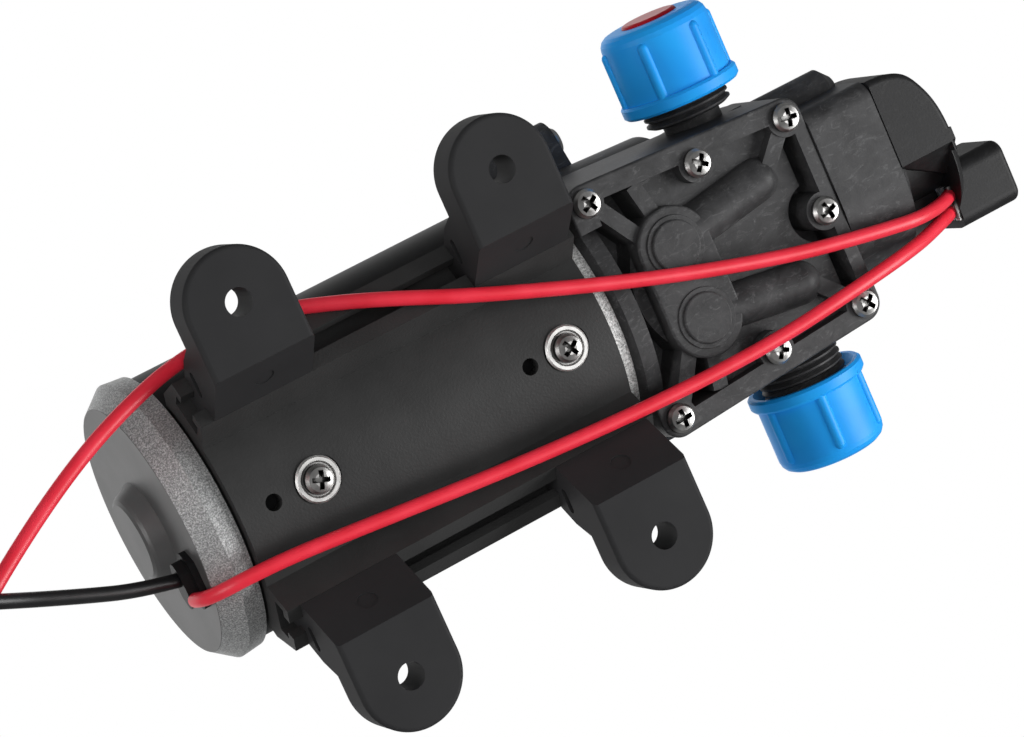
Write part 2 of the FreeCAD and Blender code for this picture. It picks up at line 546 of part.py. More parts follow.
# Brush gear: insulating plate, guides, two brushes and their springs
def brush_x():
    middle = COMMUTATOR_REAR + COMMUTATOR_LONG / 2
    return middle - BRUSH_WIDE / 2, middle + BRUSH_WIDE / 2


def brush_start():
    return COMMUTATOR_R + BRUSH_TOUCH


def brush_pair():
    x0, x1 = brush_x()
    one = block(x0, x1, brush_start(), brush_start() + BRUSH_LONG, AXIS_Z - BRUSH_HIGH / 2,
                AXIS_Z + BRUSH_HIGH / 2)
    return Part.Compound([one, mirrored(one)])


def brush_springs():
    x0, x1 = brush_x()
    start = brush_start() + BRUSH_LONG
    one = rod_y(start, start + BRUSH_SPRING_LONG, BRUSH_SPRING_D / 2, (x0 + x1) / 2, AXIS_Z).cut(
        rod_y(start, start + BRUSH_SPRING_LONG, BRUSH_SPRING_D / 2 - 0.6, (x0 + x1) / 2, AXIS_Z))
    return Part.Compound([one, mirrored(one)])


def brush_holder():
    x0, x1 = brush_x()
    outer = CAN_R - CAN_WALL
    rear = CAN_REAR + BELL_LONG
    plate = rod_x(rear, rear + HOLDER_THICK, outer).cut(
        rod_x(rear, rear + HOLDER_THICK, HOLDER_BORE_R))
    start = brush_start() + 1.5
    end = brush_start() + BRUSH_LONG + BRUSH_SPRING_LONG
    half = BRUSH_HIGH / 2 + FOOT_FIT
    guide = block(rear, x1 + GUIDE_WALL, start, end + GUIDE_WALL, AXIS_Z - half - GUIDE_WALL,
                  AXIS_Z + half + GUIDE_WALL)
    bore = block(x0 - FOOT_FIT, x1 + FOOT_FIT, start - 1, end, AXIS_Z - half, AXIS_Z + half)
    holder = plate.fuse(guide).fuse(mirrored(guide)).cut(bore).cut(mirrored(bore))
    return holder.removeSplitter()


# Bearings: plain bush at the rear, ball bearings at the front and on the eccentric
def rear_bush():
    start = CAP_FACE[0] - CAP_BOSS_LONG + CAP_WALL / 2
    return rod_x(start, start + REAR_BUSH_LONG, REAR_BUSH_D / 2).cut(
        rod_x(start, start + REAR_BUSH_LONG, SHAFT_D / 2 + BUSH_FIT))


def bearing(rear, width, bore_r, in_r, out_r, outside_r, balls, z):
    """Inner ring, and outer ring with its balls, of a deep-groove bearing along X."""
    middle = rear + width / 2
    ball_r = (out_r - in_r) / 2 + 0.6
    pitch_r = (in_r + out_r) / 2
    groove = Part.makeTorus(pitch_r, ball_r + BALL_FIT, V(middle, 0, z), X_DIR)
    inner = rod_x(rear, rear + width, in_r, 0, z).cut(rod_x(rear, rear + width, bore_r, 0, z))
    outer = rod_x(rear, rear + width, outside_r, 0, z).cut(rod_x(rear, rear + width, out_r, 0, z))
    ball = Part.makeSphere(ball_r, V(middle, 0, z + pitch_r))
    ring = ring_of(ball, balls, V(middle, 0, z), X_DIR)
    return inner.cut(groove), Part.Compound([outer.cut(groove)] + ring)


# Crank: eccentric on the shaft, its bearing, the rod and the diaphragm
def crank_centre_z():
    return AXIS_Z - ECCENTRICITY


def crank_rear():
    return CRANK_X - CRANK_WIDE / 2


def eccentric():
    rear = crank_rear()
    disc = rod_x(rear, rear + CRANK_WIDE, ECCENTRIC_D / 2, 0, crank_centre_z()).cut(
        rod_x(rear, rear + CRANK_WIDE, SHAFT_D / 2))
    hub = rod_x(rear - CRANK_WIDE, rear, ECCENTRIC_D / 2 + 1.0).cut(
        rod_x(rear - CRANK_WIDE, rear, SHAFT_D / 2))
    middle = rear - CRANK_WIDE / 2
    hole = rod_z(AXIS_Z, AXIS_Z + ECCENTRIC_D, GRUB_D / 2, middle, 0)
    return disc.fuse(hub).cut(hole).removeSplitter()


def eccentric_grub_screw():
    middle = crank_rear() - CRANK_WIDE / 2
    start = AXIS_Z + SHAFT_D / 2
    return rod_z(start, start + GRUB_LONG, GRUB_D / 2, middle, 0)


def rod_foot_z():
    """Underside of the rod's flange, where the diaphragm lies against it at this crank angle."""
    return SPLIT_Z - DIAPHRAGM_THICK - ECCENTRICITY + DIAPHRAGM_THICK


def connecting_rod():
    rear = crank_rear()
    ring_r = RING_BEARING_OD / 2 + ROD_RING_WALL
    z = crank_centre_z()
    foot_z = rod_foot_z()
    flange = rod_z(foot_z, foot_z + CLAMP_THICK, CLAMP_R, CRANK_X, 0)
    stem = block(CRANK_X - ROD_STEM[0] / 2, CRANK_X + ROD_STEM[0] / 2, -ROD_STEM[1], ROD_STEM[1],
                 foot_z, z - RING_BEARING_OD / 2)
    rod = rod_x(rear, rear + CRANK_WIDE, ring_r, 0, z).fuse(stem).fuse(flange).cut(
        rod_x(rear, rear + CRANK_WIDE, RING_BEARING_OD / 2, 0, z))
    return rod.cut(rod_z(foot_z - 1, foot_z + CLAMP_SCREW_LONG - CLAMP_THICK - DIAPHRAGM_THICK + 0.6,
                         CLAMP_SCREW_D / 2, CRANK_X, 0)).removeSplitter()


def diaphragm():
    """Rubber disc drawn out towards the chamber, as at the top of the stroke."""
    top, centre = SPLIT_Z, rod_foot_z()
    inner, outer = CLAMP_R + 0.6, DIAPHRAGM_SEAT_R - 0.4
    profile = [(centre - DIAPHRAGM_THICK, CLAMP_SCREW_D / 2), (centre - DIAPHRAGM_THICK, inner),
               (top - DIAPHRAGM_THICK, outer), (top - DIAPHRAGM_THICK, DIAPHRAGM_R), (top, DIAPHRAGM_R),
               (top, outer), (centre, inner), (centre, CLAMP_SCREW_D / 2)]
    return turned(profile, V(CRANK_X, 0, 0), Z_DIR)


def clamp_plate():
    z = rod_foot_z() - DIAPHRAGM_THICK
    plate = rod_z(z - CLAMP_THICK, z, CLAMP_R, CRANK_X, 0)
    sink = turned([(z - CLAMP_THICK, 0), (z - CLAMP_THICK, CLAMP_HEAD_D / 2),
                   (z - CLAMP_THICK + CLAMP_HEAD_HIGH, CLAMP_SCREW_D / 2), (z, CLAMP_SCREW_D / 2),
                   (z, 0)], V(CRANK_X, 0, 0), Z_DIR)
    return plate.cut(sink)


def clamp_screw():
    z = rod_foot_z() - DIAPHRAGM_THICK - CLAMP_THICK
    return turned([(z, 0), (z, CLAMP_HEAD_D / 2), (z + CLAMP_HEAD_HIGH, CLAMP_SCREW_D / 2),
                   (z + CLAMP_SCREW_LONG, CLAMP_SCREW_D / 2), (z + CLAMP_SCREW_LONG, 0)],
                  V(CRANK_X, 0, 0), Z_DIR)


# Pump body: crankcase, head block, port stubs and the round end for the pressure switch
def cover_outline(z0, z1):
    corners = [COVER_SCREWS[6], COVER_SCREWS[4], COVER_SCREWS[2], COVER_SCREWS[0]]
    return hull_plate([(x, y, BOSS_R) for x, y in corners], z0, z1)


def port_thread(start):
    """Ridges of the port's outside thread, along Y from start."""
    profile = [(start, 0), (start, THREAD_ROOT_R)]
    for turn in range(THREAD_TURNS):
        a = start + THREAD_PITCH * turn
        profile += [(a + THREAD_PITCH * 0.35, THREAD_R), (a + THREAD_PITCH * 0.6, THREAD_R),
                    (a + THREAD_PITCH * 0.95, THREAD_ROOT_R)]
    end = start + THREAD_PITCH * THREAD_TURNS
    profile += [(end + PORT_CHAMFER, THREAD_ROOT_R - PORT_CHAMFER), (end + PORT_CHAMFER, 0)]
    return turned(profile, V(PORT_X, 0, PORT_Z), Y_DIR)


def port_end_y():
    return PORT_NECK_END + THREAD_PITCH * THREAD_TURNS + PORT_CHAMFER


def pump_body():
    ring = turned_x([(FLANGE_FRONT, 0), (FLANGE_FRONT, FLANGE_R),
                     (FLANGE_FRONT + BODY_RING_BEVEL, BODY_RING_R), (BODY_RING_FRONT, BODY_RING_R),
                     (BODY_RING_FRONT, 0)])
    case = turned_x([(FLANGE_FRONT, 0), (FLANGE_FRONT, CASE_REAR_R), (CASE_FRONT, CASE_FRONT_R),
                     (CASE_FRONT, 0)])
    case = case.common(block(FLANGE_FRONT, CASE_FRONT, -CAN_R, CAN_R, SPLIT_Z, AXIS_Z + CAN_R))
    body = ring.fuse(case)
    head = cover_outline(SPLIT_Z, HEAD_BLOCK_TOP).cut(
        block(0, FLANGE_FRONT, -CAN_R * 2, CAN_R * 2, 0, AXIS_Z))
    body = body.fuse(head)
    body = body.fuse(rod_y(-PORT_FACE_Y, PORT_FACE_Y, PORT_TUBE_R, PORT_X, PORT_Z).common(
        block(CRANK_X, STUB_FRONT, -CAN_R, CAN_R, SPLIT_Z, AXIS_Z)))
    stub = turned_x([(CASE_FRONT - 1, 0), (CASE_FRONT - 1, STUB_R), (STUB_FRONT - SEAM_GROOVE, STUB_R),
                     (STUB_FRONT, STUB_R - SEAM_GROOVE), (STUB_FRONT, 0)], STUB_Y, PORT_Z)
    stub = stub.fuse(squared_quarter(PORT_X, STUB_FRONT - SEAM_GROOVE, 0.0)).fuse(
        squared_quarter(PORT_X, STUB_FRONT, SEAM_GROOVE))
    cover_front = COVER_SCREWS[3][0] + BOSS_R
    body = body.fuse(stub.cut(block(0, cover_front, -CAN_R, CAN_R, 0, SPLIT_Z)))
    y, z, r, x0, x1 = SIDE_BAR
    bar = rod_x(x0, x1 - r / 2, r, y, z).fuse(turned_x([(x1 - r / 2, 0), (x1 - r / 2, r),
                                                       (x1, r / 2), (x1, 0)], y, z))
    body = body.fuse(bar.cut(block(0, cover_front, -CAN_R, CAN_R, 0, SPLIT_Z)))
    for y, z in LUGS:
        body = body.fuse(lug_web(y, z, FLANGE_FRONT, LUG_FRONT))
    for sign in (1, -1):
        side = rod_y(PORT_FACE_Y, PORT_NECK_END, PORT_NECK_R, PORT_X, PORT_Z).fuse(
            port_thread(PORT_NECK_END)).cut(cover_outline(COVER_FACE_Z, SPLIT_Z))
        body = body.fuse(side if sign > 0 else mirrored(side))
    for cut in body_cuts():
        body = body.cut(cut)
    return body.removeSplitter()


def squared_quarter(x0, x1, inset):
    """The stub's flat-bottomed quarter towards the outlet, with one rounded long edge."""
    y, z, r = STUB_SIDE_Y + inset, STUB_FLAT_Z + inset, STUB_CORNER_R
    return block(x0, x1, y + r, STUB_Y, z, PORT_Z).fuse(
        block(x0, x1, y, STUB_Y, z + r, PORT_Z)).fuse(rod_x(x0, x1, r, y + r, z + r))


def body_cuts():
    """Everything hollow in the pump body."""
    cuts = [rod_x(FLANGE_FRONT - 1, CASE_FRONT - CASE_WALL, CAVITY_R).common(
        block(FLANGE_FRONT - 1, CASE_FRONT, -CAN_R, CAN_R, CAVITY_FLOOR, AXIS_Z + CAN_R)).cut(
        rod_x(FLANGE_FRONT - 1, REGISTER_END, 2 * CAN_R))]
    cuts.append(rod_x(FLANGE_FRONT - 1, REGISTER_END + 0.5, REGISTER_R + FOOT_FIT))
    cuts.append(rod_z(SPLIT_Z - 1, CAVITY_FLOOR + 0.5, DIAPHRAGM_SEAT_R, CRANK_X, 0))
    for sign in (1, -1):
        bore = rod_y(PORT_BORE_START, port_end_y() + 1, PORT_BORE_R, PORT_X, PORT_Z)
        cuts.append(bore if sign > 0 else mirrored(bore))
        cuts.append(rod_z(SPLIT_Z - 1, PORT_Z, TUBE_BORE_R, TUBE_END[0], sign * TUBE_END[1]))
    cuts.append(rod_x(PORT_X, STUB_FRONT + 1, SENSE_R, SENSE_Y, PORT_Z))
    cuts.append(rod_x(STUB_FRONT - SENSE_CHAMBER_DEEP, STUB_FRONT + 1, SENSE_CHAMBER_R, 0, PORT_Z))
    for x, y in COVER_SCREWS:
        cuts.append(rod_z(COVER_FACE_Z, COVER_FACE_Z + COVER_SCREW_LONG, COVER_SHANK_D / 2, x, y))
    for y, z in LUGS:
        cuts.append(rod_x(FLANGE_FRONT - 1, LUG_FRONT + 1, BODY_SHANK_D / 2, y, z))
    for y, z in SWITCH_SCREWS:
        cuts.append(rod_x(switch_seat_x() - SWITCH_SCREW_LONG, STUB_FRONT + 1, SWITCH_SHANK_D / 2, y, z))
    return cuts


def switch_seat_x():
    return SWITCH_END - SWITCH_HEAD_HIGH


# Head cover: rimmed plate with the valve pad, two channel tubes and corner ribs
def head_cover():
    shape = cover_outline(COVER_FACE_Z, SPLIT_Z)
    shape = shape.cut(rod_x(FLANGE_FRONT - 20, BODY_RING_FRONT + 0.1, BODY_RING_R))
    rims = [e for e in shape.Edges if abs(e.BoundBox.ZMin - COVER_FACE_Z) < 0.01
            and e.BoundBox.ZLength < 0.01]
    shape = shape.makeFillet(COVER_EDGE_R, rims)
    room = recess_room()
    for x, y in COVER_SCREWS:
        room = room.cut(rod_z(0, SPLIT_Z, BOSS_R, x, y))
    shape = shape.cut(room.common(block(0, STUB_FRONT, -CAN_R, CAN_R, 0, FLOOR_Z)))
    shape = shape.cut(room.cut(cover_plateau()))
    shape = shape.fuse(cover_pads()).fuse(cover_ribs())
    for cut in cover_cuts():
        shape = shape.cut(cut)
    return shape


def cover_plateau():
    """Floor over the valve plate and the channel ends; beyond it the recess is deeper."""
    plateau = block(*PLATEAU_X, -CAN_R, CAN_R, 0, SPLIT_Z)
    end_x, end_y = COVER_SCREWS[3]
    plateau = plateau.cut(rod_z(0, SPLIT_Z, DEEP_ROUND_R, end_x, end_y))
    return plateau.fuse(rod_z(0, SPLIT_Z, PLATE_R + FOOT_FIT + PLATE_RIM, CRANK_X, 0))


def recess_room():
    """Space inside the rim, open towards the body's ring between the two rear bosses."""
    in_x = RIM_FRONT_WIDE + ROOM_CORNER_R - BOSS_R
    in_y = RIM_WIDE + ROOM_CORNER_R - BOSS_R
    corners = [COVER_SCREWS[6], COVER_SCREWS[4], COVER_SCREWS[2], COVER_SCREWS[0]]
    room = hull_plate([(x - in_x, y - math.copysign(in_y, y), ROOM_CORNER_R) for x, y in corners],
                      0, DEEP_FLOOR_Z)
    room = room.cut(block(0, BODY_RING_FRONT, -2 * CAN_R, 2 * CAN_R, 0, SPLIT_Z))
    return room.fuse(block(COVER_SCREWS[0][0] - 2 * BOSS_R, BODY_RING_FRONT + FOOT_FIT,
                           -REAR_GAP_Y, REAR_GAP_Y, 0, DEEP_FLOOR_Z))


def cover_pads():
    """Stadium pad over the two valve chambers, and the half-round channel to each port."""
    x, y = PAD_AT
    pad = hull_plate(((x, -y, PAD_R), (x, y, PAD_R)), PAD_Z, DEEP_FLOOR_Z + FOOT_FIT)
    rims = [e for e in pad.Edges if abs(e.BoundBox.ZMin - PAD_Z) < 0.01 and e.BoundBox.ZLength < 0.01]
    pad = pad.makeFillet(COVER_EDGE_R, rims)
    for sign in (1, -1):
        for r, rise in ((LEDGE_R, LEDGE_RAISE), (DISC_R, DISC_RAISE)):
            low, round_r = PAD_Z - rise, rise * 0.4
            pad = pad.fuse(turned([(PAD_Z + 1, 0), (PAD_Z + 1, r), (low + round_r, r),
                                   (low + round_r * 0.3, r - round_r * 0.3), (low, r - round_r),
                                   (low, 0)], V(x, sign * y, 0), Z_DIR))
        ex, ey = TUBE_END[0], sign * TUBE_END[1]
        start, end = V(x, sign * y, TUBE_Z), V(ex, ey, TUBE_Z)
        tube = Part.makeCylinder(TUBE_R, (end - start).Length, start, end - start)
        tube = tube.fuse(Part.makeSphere(TUBE_R, end))
        pad = pad.fuse(tube)
    return pad


def cover_ribs():
    """Ribs from the corner bosses to the pad and tubes, and from the long rims to the pad."""
    ribs = None
    x, y = PAD_AT
    for sign in (1, -1):
        runs = ((COVER_SCREWS[0][0] + 2, sign * (COVER_SCREWS[0][1] - 2), x - PAD_R * 0.6, sign * (y + 3)),
                (COVER_SCREWS[2][0], sign * COVER_SCREWS[2][1], TUBE_END[0] + 1, sign * TUBE_END[1]),
                (x - 2.5, sign * (COVER_SCREWS[2][1] + BOSS_R - RIM_WIDE / 2), x - 1.0,
                 sign * (y + PAD_R - 1)))
        for x0, y0, x1, y1 in runs:
            length = math.hypot(x1 - x0, y1 - y0)
            rib = block(0, length, -RIB_WIDE / 2, RIB_WIDE / 2, RIB_Z, DEEP_FLOOR_Z + 0.3)
            rib.rotate(V(0, 0, 0), Z_DIR, math.degrees(math.atan2(y1 - y0, x1 - x0)))
            rib.translate(V(x0, y0, 0))
            ribs = rib if ribs is None else ribs.fuse(rib)
    return ribs.common(cover_outline(0, SPLIT_Z).cut(rod_x(0, BODY_RING_FRONT + 0.1, BODY_RING_R)))


def cover_cuts():
    """Pocket for the valve stack, valve chambers, channels and screw holes."""
    x, y = PAD_AT
    cuts = [rod_z(PLATE_CEILING_Z, SPLIT_Z + 1, PLATE_R + FOOT_FIT, CRANK_X, 0)]
    for sign in (1, -1):
        cuts.append(rod_z(PAD_CHAMBER_TOP, PLATE_CEILING_Z + 1, PAD_CHAMBER_R, x, sign * y))
        start, end = V(x, sign * y, TUBE_Z), V(TUBE_END[0], sign * TUBE_END[1], TUBE_Z)
        cuts.append(Part.makeCylinder(TUBE_BORE_R, (end - start).Length, start, end - start))
        cuts.append(Part.makeSphere(TUBE_BORE_R, end))
        cuts.append(rod_z(TUBE_Z, SPLIT_Z + 1, TUBE_BORE_R, TUBE_END[0], sign * TUBE_END[1]))
    for x, y in COVER_SCREWS:
        cuts.append(rod_z(COVER_FACE_Z - 1, SPLIT_Z + 1, COVER_SHANK_D / 2, x, y))
    return cuts


# Valve stack in the cover's pocket: gasket, plate with the pump chamber, two rubber valves
def gasket_z():
    return PLATE_CEILING_Z


def plate_z():
    return PLATE_CEILING_Z + GASKET_THICK


def web_z():
    """Chamber side of the valve plate's web."""
    return plate_z() + PLATE_THICK - CHAMBER_DEEP


def valve_gasket():
    z = gasket_z()
    disc = rod_z(z, z + GASKET_THICK, PLATE_R, CRANK_X, 0)
    x, y = PAD_AT
    for sign in (1, -1):
        disc = disc.cut(rod_z(z - 1, z + 1, PAD_CHAMBER_R, x, sign * y))
    return disc


def valve_plate():
    z = plate_z()
    plate = rod_z(z, z + PLATE_THICK, PLATE_R, CRANK_X, 0).cut(
        rod_z(web_z(), z + PLATE_THICK + 1, CHAMBER_R, CRANK_X, 0))
    x, y = VALVE_AT
    for sign in (1, -1):
        hole = rod_z(z - 1, web_z() + 1, VALVE_PORT_R, x + VALVE_PORT_PITCH_R, sign * y)
        for cut in ring_of(hole, VALVE_PORTS, V(x, sign * y, 0), Z_DIR):
            plate = plate.cut(cut)
        plate = plate.cut(rod_z(z - 1, web_z() + 1, VALVE_STEM_R + VALVE_GAP, x, sign * y))
    return plate


def umbrella_valve(seat, direction, y):
    """Rubber disc over the web's ports, with a stem through the web and a barb beyond it."""
    web = web_z() - plate_z()
    x = VALVE_AT[0]
    profile = [(VALVE_GAP, 0), (VALVE_GAP, VALVE_R), (VALVE_GAP + VALVE_THICK * 0.6, VALVE_R),
               (VALVE_GAP + VALVE_THICK, VALVE_R * 0.5), (VALVE_GAP + VALVE_THICK, 0)]
    disc = turned(profile, V(x, y, seat), Z_DIR * direction)
    barb_start = -web - 2 * VALVE_GAP
    stem = turned([(barb_start - VALVE_BARB_LONG, 0), (barb_start - VALVE_BARB_LONG, VALVE_STEM_R),
                   (barb_start, VALVE_BARB_R), (barb_start, VALVE_STEM_R), (VALVE_GAP + 0.1, VALVE_STEM_R),
                   (VALVE_GAP + 0.1, 0)], V(x, y, seat), Z_DIR * direction)
    return disc.fuse(stem).removeSplitter()


# Port nut with its moulded ribs, and the transport plug that shows in its end
def port_nut(open_y, turn):
    end = open_y + NUT_LONG
    bore_r = THREAD_R + NUT_BORE_FIT
    body = turned([(open_y, NUT_MOUTH_R), (open_y, NUT_FLANGE_R - 0.5),
                   (open_y + 0.5, NUT_FLANGE_R), (open_y + NUT_FLANGE_LONG - 0.5, NUT_FLANGE_R),
                   (open_y + NUT_FLANGE_LONG, NUT_FLANGE_R - 0.4),
                   (open_y + NUT_FLANGE_LONG, NUT_BODY_R), (end - NUT_ROUND, NUT_BODY_R),
                   (end - NUT_ROUND * 0.62, NUT_BODY_R - NUT_ROUND * 0.08),
                   (end - NUT_ROUND * 0.29, NUT_BODY_R - NUT_ROUND * 0.29),
                   (end - NUT_ROUND * 0.08, NUT_BODY_R - NUT_ROUND * 0.62),
                   (end, NUT_BODY_R - NUT_ROUND), (end, PLUG_R + PLUG_FIT),
                   (end - NUT_END_WALL, PLUG_R + PLUG_FIT), (end - NUT_END_WALL, bore_r),
                   (open_y + NUT_MOUTH_LONG, bore_r)], V(PORT_X, 0, PORT_Z), Y_DIR)
    ribs = []
    rib_r = NUT_BODY_R + NUT_RIB_STAND - NUT_RIB_R
    rib = rod_y(open_y + NUT_FLANGE_LONG / 2, end - NUT_RIB_SHORT, NUT_RIB_R, PORT_X, PORT_Z + rib_r)
    rib = rib.fuse(Part.makeSphere(NUT_RIB_R, V(PORT_X, end - NUT_RIB_SHORT, PORT_Z + rib_r)))
    rib = rib.cut(rod_y(0, 2 * end, NUT_BODY_R - 0.3, PORT_X, PORT_Z))
    for one in ring_of(rib, NUT_RIBS, V(PORT_X, 0, PORT_Z), Y_DIR):
        body = body.fuse(turn_about(one, V(PORT_X, 0, PORT_Z), Y_DIR, turn))
    return body.removeSplitter()


def port_plug(open_y):
    """Soft plug held between the stub's end and the nut's end wall."""
    end = open_y + NUT_LONG
    shelf = end - NUT_END_WALL - PLUG_FIT
    top = end + PLUG_PROUD
    return turned([(shelf - PLUG_FLANGE_LONG, 0), (shelf - PLUG_FLANGE_LONG, PLUG_FLANGE_R),
                   (shelf, PLUG_FLANGE_R), (shelf, PLUG_R), (top - PLUG_ROUND, PLUG_R),
                   (top - PLUG_ROUND * 0.35, PLUG_R - PLUG_ROUND * 0.25), (top, PLUG_R - PLUG_ROUND),
                   (top, 0)], V(PORT_X, 0, PORT_Z), Y_DIR)


# Pressure switch: cup with a wire bay, offset terminal box, and the moving parts inside
def micro_pocket_x():
    return STUB_FRONT + SENSE_DISC_THICK, MICRO_REAR


def switch_housing():
    shell = turned_x([(STUB_FRONT, 0), (STUB_FRONT, SWITCH_REAR_R), SWITCH_MID, SWITCH_FRONT,
                      (SWITCH_END, SWITCH_END_R), (SWITCH_END, 0)], STUB_Y, PORT_Z)
    bay = block(STUB_FRONT - 1, BAY_FRONT, BAY_Y, 2 * STUB_R, PORT_Z - 2 * STUB_R, BAY_Z)
    bay = bay.cut(rod_x(STUB_FRONT - 2, BAY_FRONT + 1, CUP_R, 0, PORT_Z))
    bay = bay.cut(rod_x(STUB_FRONT - 2, SEAT_RING_FRONT, SEAT_RING_R, 0, PORT_Z))
    shell = shell.fuse(flat_quarter()).cut(bay).fuse(shoulder())
    x0, x1, y0, y1, z0, z1 = LUG_BOX
    box = block(x0, x1, y0, y1, z0, z1)
    long_edges = [e for e in box.Edges if e.BoundBox.XLength > 1]
    box = box.makeFillet(LUG_BOX_R, long_edges)
    end_edges = [e for e in box.Edges if abs(e.BoundBox.XMin - x1) < 0.01 and e.BoundBox.XLength < 0.01]
    box = box.makeFillet(LUG_BOX_END_R, end_edges)
    gy0, gy1, gz0, gz1 = GUSSET
    gusset = Part.Face(Part.makePolygon([V(x0, gy0, gz0), V(SWITCH_END, gy0, gz0),
                                         V(SWITCH_END + 2.2, gy1, gz0), V(x0, gy1, gz0),
                                         V(x0, gy0, gz0)])).extrude(V(0, 0, gz1 - gz0))
    shell = shell.fuse(box).fuse(gusset)
    wall = LUG_BOX_WALL
    shell = shell.cut(block(x0 + wall, x1 - wall, y0 + wall, y1 - wall, z0 + wall, z1 - wall))
    shell = shell.cut(seal_block(x0 - 1, x0 + wall + 0.5))
    disc_end, pocket_start = micro_pocket_x()
    shell = shell.cut(rod_x(STUB_FRONT - 1, disc_end, SENSE_DISC_R, 0, PORT_Z))
    shell = shell.cut(rod_x(disc_end - 0.1, pocket_start, CUP_BORE_R, 0, PORT_Z))
    shell = shell.cut(block(pocket_start - 0.1, MICRO_FRONT, -MICRO_HALF_Y, MICRO_HALF_Y,
                            PORT_Z - MICRO_HALF_Z, PORT_Z + MICRO_HALF_Z))
    for name in ("red_supply_lead", "red_link_lead"):
        start, after = V(*ROUTES[name][0]), V(*ROUTES[name][1])
        shell = shell.cut(Part.makeCylinder(LEAD_D / 2 + FOOT_FIT, LEAD_ENTRY_LONG, start, after - start))
    for y, z in SWITCH_SCREWS:
        shell = shell.cut(rod_x(STUB_FRONT - 1, SWITCH_END + 1, SWITCH_SHANK_D / 2, y, z))
        shell = shell.cut(rod_x(switch_seat_x(), SWITCH_END + 1, SWITCH_HEAD_D / 2 + 0.2, y, z))
    return shell.removeSplitter()


def flat_quarter():
    """Flat-bottomed quarter of the cup that carries on from the stub's, with a smooth rounded end."""
    rear, front = V(STUB_FRONT, STUB_Y, STUB_FLAT_Z), V(SWITCH_PLAN[-1][0], STUB_Y, STUB_FLAT_Z)
    points = [V(x, y, STUB_FLAT_Z) for x, y in SWITCH_PLAN]
    curve = Part.BSplineCurve()
    curve.interpolate(points)
    edges = [Part.makeLine(rear, points[0]), curve.toShape(), Part.makeLine(points[-1], front),
             Part.makeLine(front, rear)]
    flat = Part.Face(Part.Wire(edges)).extrude(V(0, 0, PORT_Z - STUB_FLAT_Z))
    lows = [e for e in flat.Edges if e.BoundBox.ZMax < STUB_FLAT_Z + 0.01
            and e.BoundBox.YMin < SWITCH_PLAN[0][1] + 0.1 and e.BoundBox.XLength > 1]
    return flat.makeFillet(PLAN_EDGE_R, lows)


def shoulder():
    """Wall that turns from the cup's flat quarter down to the terminal box, over the wire bay."""
    (rear_low, front_low), (rear_high, front_high), (low, high) = SHOULDER
    ends = []
    for x, y_low, y_high, z_high in ((STUB_FRONT, rear_low, rear_high, low),
                                     (SHOULDER_END_X, front_low, front_high, high)):
        points = [V(x, SHOULDER_INNER_Y, STUB_FLAT_Z), V(x, y_low, STUB_FLAT_Z), V(x, y_high, z_high),
                  V(x, y_high, PORT_Z), V(x, SHOULDER_INNER_Y, PORT_Z)]
        ends.append(Part.makePolygon(points + [points[0]]))
    return Part.makeLoft(ends, True, True)


def seal_block(x0, x1):
    rear, y0, y1, z0, z1 = SEAL
    return block(x0, x1, y0, y1, z0, z1)


def wire_entry_seal():
    """Potting that fills the terminal box's entry and stands a little proud of it."""
    return seal_block(SEAL[0], LUG_BOX[0] + LUG_BOX_WALL)


def switch_piston():
    start = STUB_FRONT + SENSE_DISC_THICK + SWITCH_GAP
    disc = rod_x(start, start + PISTON_THICK, PISTON_R, 0, PORT_Z)
    return disc.fuse(rod_x(start, BUTTON_START, PISTON_PIN_R, 0, PORT_Z)).removeSplitter()


def switch_spring():
    start = STUB_FRONT + SENSE_DISC_THICK + SWITCH_GAP + PISTON_THICK + SPRING_WIRE_R
    length = MICRO_REAR - SPRING_WIRE_R - start
    path = Part.makeHelix(length / SPRING_TURNS, length, SPRING_R)
    ring = Part.Wire(Part.makeCircle(SPRING_WIRE_R, V(SPRING_R, 0, 0), V(0, 1, 0)))
    coil = Part.Wire(path.Edges).makePipeShell([ring], True, True)
    coil.rotate(V(0, 0, 0), Y_DIR, 90)
    coil.translate(V(start, 0, PORT_Z))
    return coil


def microswitch():
    body = block(MICRO_REAR, MICRO_FRONT, -MICRO_HALF_Y, MICRO_HALF_Y,
                 PORT_Z - MICRO_HALF_Z, PORT_Z + MICRO_HALF_Z)
    return body.cut(rod_x(MICRO_REAR - 1, BUTTON_END + SWITCH_TRAVEL + SWITCH_GAP,
                          BUTTON_R + FOOT_FIT, 0, PORT_Z))


def microswitch_button():
    return rod_x(BUTTON_START, BUTTON_END, BUTTON_R, 0, PORT_Z)


# Screws and washers
def cover_screws():
    screw = pan_screw(COVER_HEAD_D, COVER_HEAD_HIGH, COVER_SHANK_D, COVER_SCREW_LONG)
    return Part.Compound([aimed(screw, (x, y, COVER_FACE_Z), -90, COVER_TURN * i)
                          for i, (x, y) in enumerate(COVER_SCREWS)])


def saddle_screws():
    screw = pan_screw(SADDLE_HEAD_D, SADDLE_HEAD_HIGH, SADDLE_SHANK_D, SADDLE_SCREW_LONG)
    seat = washer_seat_z() - WASHER_THICK + WASHER_DISH
    return Part.Compound([aimed(screw, (x, 0, seat), -90, SADDLE_TURN + SADDLE_TURN_STEP * i)
                          for i, x in enumerate(SADDLE_SCREWS_X)])


